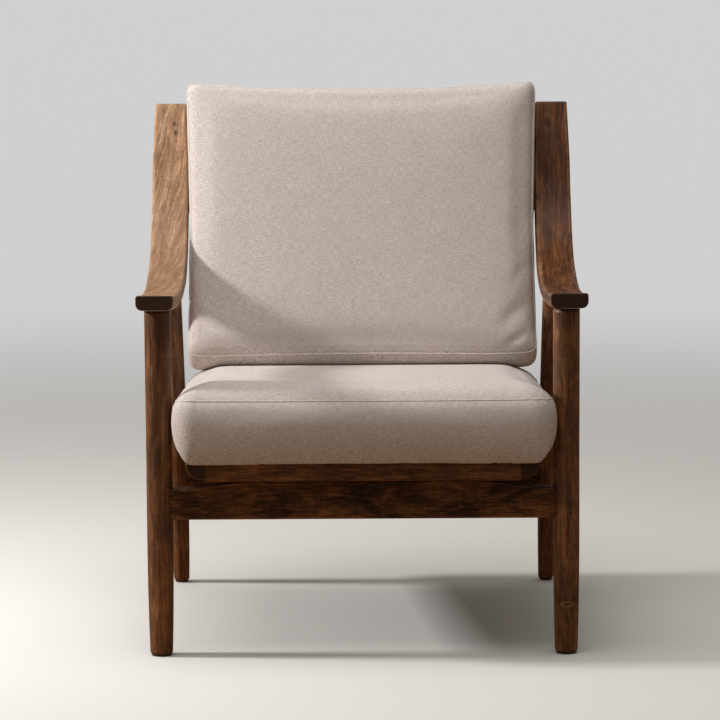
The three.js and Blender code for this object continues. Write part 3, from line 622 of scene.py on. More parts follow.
def arm_piece(word, side):
    """A rounded section carried along the arm's curve. Both ends are eased over a quarter round, then closed
    by ever smaller sections in the plane of the end."""
    stain, slant, painted_shade_start, knots = arm_looks[word]
    out, inset, scale = eased_end([0.25, 0.5, 0.72, 0.88, 0.96], arm_end_ease, 75)
    shift, inset, scale = mirrored(-out, -1), mirrored(inset), mirrored(scale)
    points, slopes, widths, depths = arm_places(np.concatenate([np.zeros(8), np.linspace(0, 1, 150), np.ones(8)]))

    def section(width, depth, less):
        lower = max(min(arm_lower_round, depth / 2) - less, arm_least_round)
        return oblong(width / 2 - less, less, depth - less, arm_upper_round - less, lower)

    outlines, edges = sections(section, widths, depths, inset)
    middle = stacked(0, depths / 2)[:, None]
    across, fall = np.moveaxis(middle + (outlines - middle) * scale[:, None, None], -1, 0)
    down = stacked(0, slopes[:, 2], -slopes[:, 1])[:, None]
    place = points[:, None] + down * fall[..., None] + (slopes * shift[:, None])[:, None]
    place[..., 0] += side * arm_x + across
    length, start = run_along(points), 2 * side
    placed = [((length[-1] + start - reach * MM, aside * MM, 0), radius * MM, long_knot)
              for reach, aside, radius in knots]
    material = wood_material(f"stained_wood_arm_{word}", stain, 0.4, knots=placed, slant=slant, patches=0.4,
                             painted_shade_start=painted_shade_start and (painted_shade_start[0] + start, painted_shade_start[1] + start, painted_shade_start[2]))
    wooden(f"arm_board_{word}", place, f"arm_{word}", material,
           board=stacked(length[:, None] + shift[:, None] + start, across, fall),
           edge=edges * (1 - 0.4 * (scale[:, None] < 1)), end=(inset > 0.4 * arm_end_ease)[:, None])


def leg_line(kind):
    """A leg's foot along y, the height of the arm's underside over its top, and its rake."""
    foot, top = (0, 0) if kind == "front" else (leg_base, rear_leg_top)
    height = float(arm_underside(front_leg_y + top))
    return front_leg_y + foot, height, math.atan2(foot - top, height)


def leg_piece(kind, word, side, knots=()):
    """A round leg: a smooth radius along its height, swept round its axis. Its foot is cut level above the
    glide with an eased rim, and its top is cut to the curved underside of the arm."""
    front = kind == "front"
    profile, axis_x = (front_leg_profile, front_leg_x) if front else (rear_leg_profile, rear_leg_x)
    foot_y, height, rake = leg_line(kind)
    cos, sin = math.cos(rake), math.sin(rake)
    shares = np.concatenate([np.linspace(0, 0.02, 5), np.linspace(0.03, 1, 70)])
    full = height / cos
    radii = smooth_values(profile * (1, MM), shares) - foot_ease * (1 - quarter(shares * full / foot_ease))
    x, y = (radii[:, None] * way for way in circle(64))
    low, high = (glide_height - y * sin) / cos, full
    for _ in range(8):
        high = (arm_underside(foot_y + y * cos - high * sin) - fit_gap - y * sin) / cos
    rings = stacked(x, y, low + shares[:, None] * (high - low))
    x, y, rise = apart(np.concatenate([shrunk(rings[0], sole_shares), rings]))
    name, seed = f"{kind}_leg_{word}", 5 * side + (0 if front else 2.5)
    placed = [((spot[0] + seed, *spot[1:]), radius, flat_knot) for spot, radius in knots]
    wooden(f"turned_{name}", turned_about_x(stacked(x, y, rise), rake, (side * axis_x, foot_y, 0)), name,
           wood_material(f"stained_wood_{name}", frame_stain, knots=placed, patches=0.5, gloss=0.42),
           board=stacked(rise + seed, x, y), edge=0, end=(np.arange(len(x)) < len(sole_shares))[:, None])


# ---------------------------------------------------------------- stretchers and rails

def stretcher_piece(kind, sizes, leg_x, leg_radius, seed):
    """A board between two legs. Its section is an eased rectangle whose top follows the crown, drawn in a
    little over a round at each end, and each end is hollowed to the round of the leg that it meets."""
    half_thick, end_top = sizes["thick"] / 2, sizes["crown"] - sizes["rise"]
    bottom = end_top - sizes["height"]
    ends = 1 - 0.02 * np.linspace(1, 0, 7)
    shares = np.concatenate([-ends[::-1], np.linspace(-0.97, 0.97, 110), ends])
    tops = end_top + sizes["rise"] * smooth_values(crown_shares, np.abs(shares))
    draw = 0.7 * board_end_round * (1 - quarter((1 - np.abs(shares)) * leg_x / board_end_round))
    outlines, edges = sections(lambda top, less: oblong(
        half_thick, bottom + less, top - less, board_ease, board_ease, 4), tops, draw)
    y, z = np.moveaxis(outlines, -1, 0)
    rings = stacked(shares[:, None] * (leg_x - np.sqrt((leg_radius + fit_gap) ** 2 - y ** 2)), y, z)
    rings = np.concatenate([shrunk(rings[0], (0.3, 0.7)), rings, shrunk(rings[-1], (0.7, 0.3))])
    foot_y, _, rake = leg_line(kind)
    name = f"{kind}_stretcher"
    # The stretchers' darker copy of the frame stain is painted shade from the seat above them.
    wooden(f"{name}_board", turned_about_x(rings, rake, (0, foot_y, 0)), name,
           wood_material(f"stained_wood_{name}", painted_shade_stretcher_stain, 0.3, patches=0.8),
           board=rings + (seed, 0, 0), edge=np.pad(edges * 0.9, ((2, 2), (0, 0))), end=0)


def side_rail_piece(word, side):
    """The rail's section, square inside and deeply rounded below outside, carried along the seat frame. Both
    ends are eased over a quarter round and closed by ever smaller sections."""
    low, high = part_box(f"seat_side_rail_{word}")
    outer = max(abs(low[0]), abs(high[0]))
    length = (high[1] - low[1] - rail_height * math.sin(seat_pitch)) / math.cos(seat_pitch)
    start, middle = rail_ease - seat_front_reach, length / 2 - seat_front_reach
    seed = 15 + side
    outline, edge = rounded_outline([
        (outer - rail_width, rail_lift, rail_ease), (outer, rail_lift, rail_round),
        (outer, rail_height, rail_ease), (outer - rail_width, rail_height, rail_ease)], steps=10)
    out, inset, scale = eased_end([0.3, 0.6, 0.82, 0.94], rail_ease, 60)
    y = np.concatenate([np.full(7, start), np.linspace(start, middle, 60)]) - out
    y = np.concatenate([y, (2 * middle - y)[::-1]])
    inset, scale = mirrored(inset), mirrored(scale)
    size = np.ptp(outline, axis=0).min() / 2
    x, z = np.moveaxis(shrunk(outline, scale * (1 - inset / size)), -1, 0)
    rings = stacked(side * x, y[:, None], z)
    wooden(f"seat_rail_{word}", turned_about_x(rings, -seat_pitch, seat_origin), f"seat_side_rail_{word}",
           wood_material(f"stained_wood_seat_rail_{word}", frame_stain, 0.3),
           board=stacked(y[:, None] + seed, side * x, z), edge=edge * 0.8 * (scale[:, None] == 1),
           end=(inset > 0.4 * rail_ease)[:, None])


for side_word, side_sign in SIDES:
    arm_piece(side_word, side_sign)
    leg_piece("front", side_word, side_sign, leg_knots[side_word])
    leg_piece("rear", side_word, side_sign)
    side_rail_piece(side_word, side_sign)
stretcher_piece("front", front_board, front_leg_x, front_leg_radius, 9)
stretcher_piece("rear", rear_board, rear_leg_x, rear_leg_radius, 12)


# ---------------------------------------------------------------- cushions

leg_room, upright_room, webbing_room = 3 * MM, 0.75 * MM, 2 * MM
# Each cushion stands out more on the right by its lopsided share.
seat_lopsided, back_lopsided = 0.45, 0.4
seat_half = (front_leg_x - front_leg_radius - leg_room, 276 * MM)
seat_box_height, seat_crown_height, seat_corner = 91 * MM, 28 * MM, 30 * MM
seat_flare, seat_flare_reach, seat_flare_place, seat_draw_in = 5.5 * MM, 22 * MM, 28 * MM, 1.5 * MM
seat_overhang, seat_nose_droop, seat_side_reach = 22 * MM, 17 * MM, 6 * MM
seat_middle = seat_half[1] - seat_front_reach - seat_overhang
seat_base = rail_height + webbing_room + 2 * fit_gap
seat_top = seat_base + seat_box_height + seat_crown_height
# The crowns leave room for the cloth to swell.
seat_swell_room, back_swell_room = 4 * MM, 8 * MM
# Side of the seat cushion from its upper seam down: (depth share, inset in mm).
seat_side_profile = np.array([
    (0, 8), (0.06, 4.6), (0.14, 2.0), (0.26, 0.4), (0.36, 0), (0.5, 0.8), (0.65, 3.2), (0.8, 7.5), (0.91, 14),
    (0.98, 23), (1, 33)])
strap_half_width, strap_thick, strap_ease, strap_sag = 25 * MM, 1.9 * MM, 0.8 * MM, 5 * MM
# How far the seat cushion sinks on the webbing and between straps, and the lengths over which that starts.
webbing_belly, between_straps, belly_start, between_start, strap_slope = 4.6 * MM, 1.8 * MM, 30 * MM, 10 * MM, 4 * MM
# Where its nose starts to droop, over what length, how far wrinkles reach back, and its lower face's print.
nose_start, nose_reach, wrinkle_reach, face_sink = 1 * MM, 9 * MM, 18 * MM, 0.2 * MM
zip_room, zip_half_band = 2 * MM, 0.16

back_half = (arm_x - arm_stations[:, 2].max() * MM / 2 - upright_room, 231 * MM)
back_box_depth, back_crown_depth, back_corner, back_front_roll = 60 * MM, 20 * MM, 16 * MM, 14 * MM
back_draw_in, back_top_sag, back_top_flare, back_ear = 3 * MM, 8 * MM, 3.5 * MM, 3 * MM
back_seam_lift, back_middle_lift, back_low_corner = 15 * MM, 5 * MM, 4.5 * MM
# Side of the back cushion from its front seam to the rear: (depth share, inset in mm).
back_side_profile = np.array([(0, 0.6), (0.1, 0.2), (0.25, 0), (0.6, 0), (0.8, 1.2), (0.92, 3.4), (1, 6)])

cloth_settings = {
    "quality": 6, "mass": 0.25, "tension_stiffness": 18, "compression_stiffness": 18, "shear_stiffness": 8,
    "bending_stiffness": 0.8, "use_pressure": True, "uniform_pressure_force": 4.0, "vertex_group_mass": "held",
    "pin_stiffness": 1, "shrink_min": -0.004}
cloth_frames, swell_cap, evening_rounds = 20, 3.8 * MM, 16
gather_depth, gather_reach, gather_waves = 0.35 * MM, 9 * MM, 70


def square_loop(count):
    """Grid rows and columns round the rim of a count by count grid, from the corner at (-1, -1)."""
    run = np.arange(count - 1)
    last = np.full(count - 1, count - 1)
    return np.concatenate([run, last, last - run, 0 * run]), np.concatenate([0 * run, run, last, last - run])


def rounded_square(u, v, half, corner):
    """Carries a square onto a rectangle with round corners. A point keeps its distance level, the larger of
    |u| and |v|, and its share of the side, measured along the straight and half of each corner arc."""
    level = np.maximum(np.abs(u), np.abs(v))
    on_x = np.abs(u) >= np.abs(v)
    share = np.where(on_x, v, u) / np.where(level > 0, level, 1)
    out, side = np.where(on_x, half[0], half[1]), np.where(on_x, half[1], half[0])
    run = np.abs(share) * (side - corner + corner * math.pi / 4)
    angle = np.maximum(run - (side - corner), 0) / corner
    far = out - corner + corner * np.cos(angle)
    near = np.sign(share) * (np.minimum(run, side - corner) + corner * np.sin(angle))
    return level * np.where(on_x, np.sign(u) * far, near), level * np.where(on_x, near, np.sign(v) * far)


def loop_run(points):
    """Distance round a closed line of points, back to the first."""
    return run_along(np.vstack([points, points[:1]]))


def quad_cloth(on, off, low, high):
    """Cloth coordinates of each quad's corners: on and off along it, low and high across it."""
    corners = (on, low), (off, low), (off, high), (on, high)
    return np.stack([stacked(*corner) for corner in corners], 2).reshape(-1, 4, 2)


def cushion_grid(count, side_steps, half, corner, box, profile, crown, fullness, roll=0.0):
    """A boxed cushion: an upper and a lower face, each a square grid carried onto a rounded rectangle, and a
    side strip of rings between their rims, drawn in by the profile. With s the share of the way from the
    rim to the middle, the upper face first rolls up from its seam as a quarter round of the height roll and
    rises by the crown as 1 - exp(-fullness s). The grid is finer near the rims. Returns points, faces, cloth
    coordinates for each face corner, the seam value of each point, and its strip depth share."""
    even = np.linspace(-1, 1, count)
    span = 0.6 * even + 0.4 * np.sin(even * math.pi / 2)
    u, v = np.meshgrid(span, span, indexing="ij")
    inward = 1 - np.maximum(np.abs(u), np.abs(v))
    rise = (1 - np.exp(-fullness * inward)) / (1 - math.exp(-fullness))

    def carried(u, v, inset, height):
        x, y = rounded_square(u, v, (half[0] - inset, half[1] - inset), max(corner - inset, corner / 3))
        return stacked(x, y, height)

    first_inset, last_inset = profile[[0, -1], 1] * MM
    upper = carried(u, v, first_inset, box + roll * quarter(inward * half[1] / max(roll, 1e-6)) + crown * rise)
    lower = carried(u, v, last_inset, 0)
    rows, columns = square_loop(count)
    depth = np.linspace(0, 1, side_steps + 1)[1:-1]
    strip = np.array([carried(u[rows, columns], v[rows, columns], inset * MM, box * (1 - share))
                      for share, inset in zip(depth, smooth_values(profile, depth, 200))])
    verts = np.vstack([part.reshape(-1, 3) for part in (upper, lower, strip)])
    cells, rim = count * count, rows * count + columns
    loop = len(rim)
    rings = np.vstack([rim, 2 * cells + np.arange(len(depth) * loop).reshape(-1, loop), cells + rim])
    cell = (np.arange(count - 1)[:, None] * count + np.arange(count - 1)).ravel()
    top_faces = np.stack([cell, cell + count, cell + count + 1, cell + 1], 1)
    low_faces = cells + top_faces[:, ::-1]
    on, off = rings, np.roll(rings, -1, 1)
    side_faces = np.stack([on[1:], off[1:], off[:-1], on[:-1]], -1).reshape(-1, 4)
    run = loop_run(verts[rim, :2])
    height = box * (1 - np.concatenate([[0], depth, [1]]))[:, None]
    side_cloth = quad_cloth(run[:-1], run[1:], height[1:], height[:-1])
    cloth = np.concatenate([verts[top_faces][..., :2], verts[low_faces][..., :2], side_cloth])
    seam = np.zeros(len(verts))
    seam[rim], seam[cells + rim] = 1, 2
    down = np.concatenate([np.zeros(cells), np.ones(cells), np.repeat(depth, loop)])
    return verts, np.vstack([top_faces, low_faces, side_faces]), cloth, seam, down


def cloth_mesh(name, verts, faces, cloth):
    """A mesh of quads with the cloth coordinates in its UV map."""
    mesh = bpy.data.meshes.new(name)
    mesh.from_pydata(verts.tolist(), [], faces.tolist())
    mesh.uv_layers.new(name="cloth").data.foreach_set("uv", cloth.ravel())
    mesh.shade_smooth()
    return linked(name, mesh)


def read_each(items, key, size=3):
    flat = np.zeros(size * len(items), int if key == "vertices" else float)
    items.foreach_get(key, flat)
    return flat.reshape(-1, size)


def points_of(mesh):
    return read_each(mesh.vertices, "co")


def normals_of(mesh):
    return read_each(mesh.vertices, "normal")


def flat_of(mesh):
    """Each point's place on the cushion's own plane before it was blown up, and its depth share."""
    flat = read_each(mesh.attributes["flat"].data, "vector")
    return flat[:, :2], flat[:, 2]


def set_points(mesh, points):
    mesh.vertices.foreach_set("co", points.ravel())
    mesh.update()


def evened(mesh, ways, fixed):
    """Each point's way, unless it is fixed, is drawn halfway to the mean of its neighbours' ways, again and
    again, so that the foam's broad swell stays and the sharp creases go."""
    on, off = read_each(mesh.edges, "vertices", 2).T
    count = np.bincount(np.concatenate([on, off]), minlength=len(ways))[:, None]
    for _ in range(evening_rounds):
        total = np.zeros_like(ways)
        np.add.at(total, on, ways[off])
        np.add.at(total, off, ways[on])
        ways = np.where(fixed[:, None], ways, (ways + total / count) / 2)
    return ways


def inflate(piece, held, fixed):
    """Blows the cover up as cloth with its held points pinned and keeps the result with the ways evened,
    other than the fixed points' ways, and each capped: a way w becomes cap times tanh(w / cap)."""
    before = points_of(piece.data)
    piece.vertex_groups.new(name="held").add(np.flatnonzero(held).tolist(), 1.0, "REPLACE")
    modifier = piece.modifiers.new("cloth", "CLOTH")
    for key, value in cloth_settings.items():
        setattr(modifier.settings, key, value)
    modifier.settings.effector_weights.gravity = 0
    modifier.point_cache.frame_start, modifier.point_cache.frame_end = 1, cloth_frames
    for moment in range(1, cloth_frames + 1):
        bpy.context.scene.frame_set(moment)
    after = points_of(piece.evaluated_get(bpy.context.evaluated_depsgraph_get()).data)
    bpy.context.scene.frame_set(1)
    piece.modifiers.remove(modifier)
    way = evened(piece.data, after - before, fixed)
    size = np.linalg.norm(way, axis=1, keepdims=True)
    set_points(piece.data, before + way * swell_cap * np.tanh(size / swell_cap) / np.maximum(size, 1e-9))


def subdivided(piece):
    """Replaces the piece's mesh with itself after one subdivision."""
    modifier = piece.modifiers.new("finer", "SUBSURF")
    modifier.levels = modifier.render_levels = 1
    finer = bpy.data.meshes.new_from_object(piece.evaluated_get(bpy.context.evaluated_depsgraph_get()))
    piece.modifiers.remove(modifier)
    old, piece.data = piece.data, finer
    name = old.name
    bpy.data.meshes.remove(old)
    finer.name = name


fabric = fabric_material("twill_cloth")
# The seams' cloth is a paler copy: a painted highlight along their ridges.
highlit_seam_cloth = fabric_material("twill_cloth_highlit_at_seams", seam_highlight=0.9)


def welt(name, loop, outward, radius, body):
    """A thin ridge along a closed line of points: a small ellipse carried round it, half sunk in the cover.
    Its sides follow the line's own outward way and the way across that and the line."""
    ahead = unit(np.roll(loop, -1, 0) - np.roll(loop, 1, 0))
    outward = unit(outward - np.einsum("ij,ij->i", outward, ahead)[:, None] * ahead)
    cos, sin = circle(12)
    rings = (loop[:, None] + outward[:, None] * (radius * (0.15 + cos))[:, None]
             + np.cross(ahead, outward)[:, None] * (0.9 * radius * sin)[:, None])
    index = np.arange(rings[..., 0].size).reshape(rings.shape[:2])
    following = np.roll(index, -1, 0)
    faces = np.stack([index, following, np.roll(following, -1, 1), np.roll(index, -1, 1)], -1).reshape(-1, 4)
    run, round_it = loop_run(loop)[:, None], np.arange(13) * (FULL_TURN * radius / 12)
    cloth = quad_cloth(run[:-1], run[1:], round_it[:-1], round_it[1:])
    verts = rings.reshape(-1, 3)
    if inside_out(verts, [faces]):
        faces, cloth = faces[:, ::-1], cloth[:, ::-1]
    piece = cloth_mesh(name, verts, faces, cloth)
    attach(piece, body)
    # The welt takes the paler seam cloth, a painted highlight.
    piece.data.materials.append(highlit_seam_cloth)


def dress_cushion(word, form, pull, place, held_of, finish_points):
    """Makes a cushion: its grid, pulled and placed in the world, blown up as cloth, subdivided once, then
    finished point by point. Returns the piece and its two seams' point orders."""
    verts, faces, cloth, seam, down = cushion_grid(**form)
    verts = pull(verts, down)
    piece = cloth_mesh(f"{word}_cushion_dressed", place(verts), faces, cloth)
    give(piece, "seams", stacked(seam == 1, seam == 2, 0))
    give(piece, "flat", stacked(verts[:, 0], verts[:, 1], down))
    held = (seam > 0) | (down > 0.999) | held_of(verts[:, 1], down)
    inflate(piece, held, fixed=held & (seam != 1))
    subdivided(piece)
    mesh = piece.data
    finish_points(mesh)
    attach(piece, f"{word}_cushion")
    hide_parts(f"{word}_cushion_cover")
    mesh.materials.clear()
    mesh.materials.append(fabric)
    flat, _ = flat_of(mesh)
    turn = np.arctan2(flat[:, 1], flat[:, 0])
    chosen = (np.flatnonzero(on_seam) for on_seam in read_each(mesh.attributes["seams"].data, "vector").T[:2] > 0.999)
    return piece, [order[np.argsort(turn[order])] for order in chosen]


def bell(away, width):
    return np.exp(-(away / width) ** 2)


def soft_folds(flat, folds):
    """Depth of the folds at each point: every fold is a line from one place to another on the cushion's own
    plane, with a depth that dies off across it as exp(-(d / width)^2) and towards its ends."""
    total = np.zeros(len(flat))
    for start, end, depth, width in folds:
        start, end = np.asarray(start) * MM, np.asarray(end) * MM
        way = end - start
        share = np.clip(((flat - start) @ way) / (way @ way), 0, 1)
        away = np.linalg.norm(flat - start - share[:, None] * way, axis=1)
        total += depth * MM * bell(away, width * MM) * np.sin(math.pi * np.clip(share, 0.08, 0.92))
    return total


def puckers(run, count, seed):
    """A gathered edge: five waves of near-equal lengths round a seam, with phases from a fixed seed."""
    random = np.random.default_rng(seed)
    waves = random.uniform(0.6, 1.5, 5) * count
    phases = random.uniform(0, FULL_TURN, 5)
    return sum(np.sin(FULL_TURN * np.round(wave) * run + phase) for wave, phase in zip(waves, phases)) / 5


def worn_in(mesh, half, depth, seed, folds):
    """Points of a cover after its edges are gathered near the seams and folds are sunk in its upper face.
    Also returns the normals, and the places and depth shares that flat_of reads."""
    points, normals = points_of(mesh), normals_of(mesh)
    flat, down = flat_of(mesh)
    rim = np.max(np.abs(flat) / half, axis=1)
    near = np.exp(-((1 - np.minimum(rim, 1)) * half[1] + down * depth) / gather_reach)
    run = np.arctan2(flat[:, 1], flat[:, 0]) / FULL_TURN
    change = gather_depth * near * puckers(run, gather_waves, seed) - soft_folds(flat, folds) * (down < 0.02)
    return points + normals * change[:, None], normals, flat, down


def to_seat_world(points):
    return turned_about_x(points, -seat_pitch, seat_origin)


def from_seat_world(points):
    return turned_about_x(points - np.asarray(seat_origin), seat_pitch, (0, 0, 0))


def pull_seat(points, down):
    """Sides drawn in between the corners by a parabola along the depth, and flared out just behind the
    front corners by a bell. The upper seam reaches further out along the sides than in front."""
    x, y, z = apart(points)
    share = y / seat_half[1]
    flare = seat_flare * (1 + seat_lopsided * np.sign(x))
    change = flare * bell(y + seat_half[1] - seat_flare_place, seat_flare_reach) - seat_draw_in * (1 - share ** 2)
    change += seat_side_reach * np.clip(1 - down / 0.3, 0, 1) ** 2 * np.clip((share + 0.96) / 0.16, 0, 1)
    return stacked(x * (1 + change / seat_half[0]), y, z)


def place_seat(points):
    return to_seat_world(points + (0, seat_middle, seat_base))


def hold_seat(y, down):
    """The band of the zip stays where it is."""
    return (y > seat_half[1] - zip_room) & (np.abs(down - 0.5) < zip_half_band)


strap_boxes = np.array([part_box(f"webbing_strap_{index}") for index in range(1, 8)])
strap_rows = from_seat_world(strap_boxes.mean(1) * (0, 1, 1))[:, 1]


def sunk_on_webbing(x, y):
    """How far the lower face sinks: by a parabola between the side rails, as the webbing sags, and by nearly
    a strap's thickness between two straps."""
    reach = np.minimum(y - strap_rows.min(), strap_rows.max() - y) + strap_half_width
    belly = webbing_belly * np.clip(1 - (x / rail_inner) ** 2, 0, 1) * np.clip(reach / belly_start, 0, 1)
    off_strap = np.abs(y[:, None] - strap_rows).min(1) - strap_half_width - 1 * MM
    beside = np.clip(off_strap / strap_slope, 0, 1)
    return belly + between_straps * beside * np.clip(reach / between_start, 0, 1)


# Folds: (start, end, depth, width) in mm. Wrinkles low in the seat's front: (place, depth, width) in mm.
seat_folds = [((-262, -205), (-120, -150), 2.0, 12), ((-268, -165), (-150, -95), 1.6, 10),
              ((250, -215), (180, -190), 1.0, 10)]
seat_wrinkles = (196, 1.6, 3.2), (207, 1.2, 3.0), (217, 1.4, 3.4), (-150, 0.6, 5), (60, 0.6, 5)
back_folds = [((-272, -150), (-180, -185), 1.6, 10), ((270, -120), (215, -175), 2.4, 12),
              ((272, 30), (240, -40), 1.2, 12), ((266, -175), (222, -205), 2.2, 7), ((270, -60), (236, -104), 1.4, 8)]


def finish_seat(mesh):
    """Seam puckers near the rims, two long soft folds at the left, short upright wrinkles low in front, and
    the lower face lying on the webbing."""
    points, normals, flat, down = worn_in(mesh, seat_half, seat_box_height, 3, seat_folds)
    front = bell(flat[:, 1] + seat_half[1], wrinkle_reach) * np.clip((down - 0.72) / 0.12, 0, 1)
    dip = sum(depth * MM * bell(flat[:, 0] - place * MM, width * MM) for place, depth, width in seat_wrinkles)
    x, y, z = apart(from_seat_world(points - normals * (dip * front)[:, None]))
    ahead = np.clip((-seat_front_reach - nose_start - y) / nose_reach, 0, 1)
    z = np.where(ahead > 0, z, np.maximum(z, seat_base - face_sink))
    z -= seat_nose_droop * ahead * ahead * (3 - 2 * ahead) * np.clip(2 * down - 0.9, 0, 1)
    z -= (down > 0.97) * (1 - ahead) * sunk_on_webbing(x, y)
    set_points(mesh, to_seat_world(stacked(x, y, z)))


seat_form = {"count": 84, "side_steps": 17, "half": seat_half, "corner": seat_corner, "box": seat_box_height,
             "profile": seat_side_profile, "crown": seat_crown_height - seat_swell_room, "fullness": 20}
seat_cushion, seat_seams = dress_cushion("seat", seat_form, pull_seat, place_seat, hold_seat, finish_seat)


# The back cushion's own place: on the plane through the two rails' places on the uprights' rear faces.
lower_rail_drop, back_rail_inset, back_rail_thick = 155 * MM, 8 * MM, 16 * MM
rail_front = -(back_rail_inset + back_rail_thick)
lower_rail_height = arm_low_height + arm_rise - lower_rail_drop
back_origin = (0, float(np.interp(lower_rail_height, *arm_underline(0.5, 1)[::-1])), lower_rail_height)
face_foot = turned_about_x(np.array([[0, rail_front - fit_gap - back_box_depth, 0]]), -recline, back_origin)
back_foot = (seat_top + fit_gap - from_seat_world(face_foot)[0, 2]) / math.cos(recline - seat_pitch)
back_middle = back_foot + back_half[1]


def pull_back(points, down):
    """Sides drawn in between the corners by a parabola, the top sagging in the middle, and the front seam
    lifted off the seat along the lower side, most in the middle, so that the strip rolls under it. There the
    front face rolls back less, and the lower corners are lifted a little, the right one more."""
    x, y, z = apart(points)
    up, across = y / back_half[1], x / back_half[0]
    sag = back_top_sag * (1 - across ** 2) * np.maximum(up, 0)
    ear = back_ear * np.clip((up - 0.5) / 0.5, 0, 1) ** 2 * across ** 6
    wide = back_top_flare * np.clip(up, 0, 1) - back_draw_in * (1 - up ** 2)
    low = np.clip((-up - 0.72) / 0.28, 0, 1)
    low = low ** 2 * (3 - 2 * low) * np.clip(1 - 2 * down, 0, 1) ** 2
    lift = low * (back_seam_lift + back_middle_lift * (1 - across ** 2))
    fuller = 0.7 * low * np.clip(back_box_depth - z, 0, back_front_roll)
    lift += back_low_corner * (1 + back_lopsided * np.sign(x)) * np.clip(-up, 0, 1) ** 4 * across ** 6
    return stacked(x * (1 + wide / back_half[0]), y - sag + ear + lift, z + fuller)


def place_back(points):
    x, y, z = apart(points)
    return turned_about_x(stacked(x, rail_front - fit_gap - z, back_middle + y), -recline, back_origin)


def hold_back(y, down):
    """The strip that rolls under stays where it is."""
    return (y < -0.93 * back_half[1]) & (down > 0) & (down < 0.5)


def finish_back(mesh):
    """Seam puckers, soft folds low in the corners, and the lower side pressed to the seat cushion."""
    points, _, flat, _ = worn_in(mesh, back_half, back_box_depth, 8, back_folds)
    set_points(mesh, pressed_on_seat(points, flat[:, 1] < -0.7 * back_half[1], 0.5 * MM))


def pressed_on_seat(points, chosen, lift):
    """Raises the chosen points that lie under the seat cushion to a lift above it. Its upper surface is read
    as the highest point in each cell of a fine square net, then between cells by their four corners."""
    cell = 6 * MM
    top = points_of(seat_cushion.data)[flat_of(seat_cushion.data)[1] < 0.2]
    low = top[:, :2].min(0) - cell
    size = np.ceil((top[:, :2].max(0) - low) / cell).astype(int) + 2
    heights = np.full(size, -1.0)
    np.maximum.at(heights, tuple(((top[:, :2] - low) / cell).astype(int).T), top[:, 2])
    place = (points[:, :2] - low) / cell - 0.5
    slot = np.clip(place.astype(int), 0, size - 2)
    part_x, part_y = np.clip(place - slot, 0, 1).T
    near_low, near_high, far_low, far_high = (
        heights[slot[:, 0] + a, slot[:, 1] + b] for a in (0, 1) for b in (0, 1))
    height = ((near_low * (1 - part_y) + near_high * part_y) * (1 - part_x)
              + (far_low * (1 - part_y) + far_high * part_y) * part_x)
    lowest = np.min([near_low, near_high, far_low, far_high], axis=0)
    inside = np.all((place > 0) & (place < size - 1), axis=1) & (lowest > 0)
    raised = points.copy()
    raised[:, 2] = np.where(chosen & inside, np.maximum(points[:, 2], height + lift), points[:, 2])
    return raised


back_form = {"count": 78, "side_steps": 11, "half": back_half, "corner": back_corner,
             "box": back_box_depth - back_front_roll, "profile": back_side_profile,
             "crown": back_crown_depth - back_swell_room, "fullness": 4, "roll": back_front_roll}
back_cushion, back_seams = dress_cushion("back", back_form, pull_back, place_back, hold_back, finish_back)

for cushion, seams, word, radii in ((seat_cushion, seat_seams, "seat", (0.85, 0.8)),
                                    (back_cushion, back_seams, "back", (1.2, 0.8))):
    cushion_points, cushion_normals = points_of(cushion.data), normals_of(cushion.data)
    for order, seam_word, radius in zip(seams, ("upper", "lower"), radii):
        welt(f"{word}_cushion_{seam_word}_seam", cushion_points[order], cushion_normals[order], radius * MM,
             f"{word}_cushion")


# ---------------------------------------------------------------- foam

foam_inset, foam_crown_less = 9 * MM, 2 * MM
foam_stuff = foam_material()


def foam_piece(word, form, pull, place, press=False):
    """The foam block: the cushion's own shape, drawn in all round by the inset."""
    inner = dict(form, count=36, side_steps=7, half=tuple(size - foam_inset for size in form["half"]),
                 box=form["box"] - 2 * foam_inset, crown=form["crown"] - foam_crown_less)
    verts, faces, cloth, _, down = cushion_grid(**inner)
    points = place(pull(verts, down) + (0, 0, foam_inset))
    if press:
        points = pressed_on_seat(points, verts[:, 1] < -0.7 * back_half[1], foam_inset)
    piece = cloth_mesh(f"{word}_foam_block", points, faces, cloth)
    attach(piece, f"{word}_cushion")
    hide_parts(f"{word}_cushion_foam")
    piece.data.materials.append(foam_stuff)


foam_piece("seat", seat_form, pull_seat, place_seat)
foam_piece("back", back_form, pull_back, place_back, press=True)


# ---------------------------------------------------------------- boards that keep their solids

def dress_node(name, material, ease):
    """Gives a solid its finish and takes the sharpness off its edges."""
    solid = frame["nodes"][name]
    solid.material_slots[0].link = "OBJECT"
    solid.material_slots[0].material = material
    solid.modifiers.new("joined", "WELD").merge_threshold = 0.02 * MM
    edges = solid.modifiers.new("eased", "BEVEL")
    edges.width = ease
    edges.segments = 3
    edges.limit_method = "ANGLE"
    edges.angle_limit = math.radians(40)
    edges.use_clamp_overlap = True


rail_wood = wood_material("stained_wood_rails", frame_stain, turn=(0, 0, 0))
slat_wood = wood_material("stained_wood_slats", frame_stain, turn=(0, math.pi / 2, 0))
bare_wood = wood_material("plain_wood", bare_stain, turn=(0, 0, 0))
corners = [(end_word, side_word) for end_word in ("front", "rear") for side_word, _ in SIDES]
for material, ease, names in (
        (rail_wood, 1.8 * MM, ("seat_front_rail", "seat_rear_rail", "back_crest_rail", "back_lower_rail")),
        (slat_wood, 1.5 * MM, [f"back_slat_{index}" for index in range(1, 6)]),
        (bare_wood, 1 * MM, [f"corner_block_{end_word}_{side_word}" for end_word, side_word in corners]),
        (bare_wood, 0.6 * MM, [f"frame_dowel_{index}" for index in range(1, 9)])):
    for name in names:
        dress_node(name, material, ease)


# ---------------------------------------------------------------- webbing, screws, glides and zips

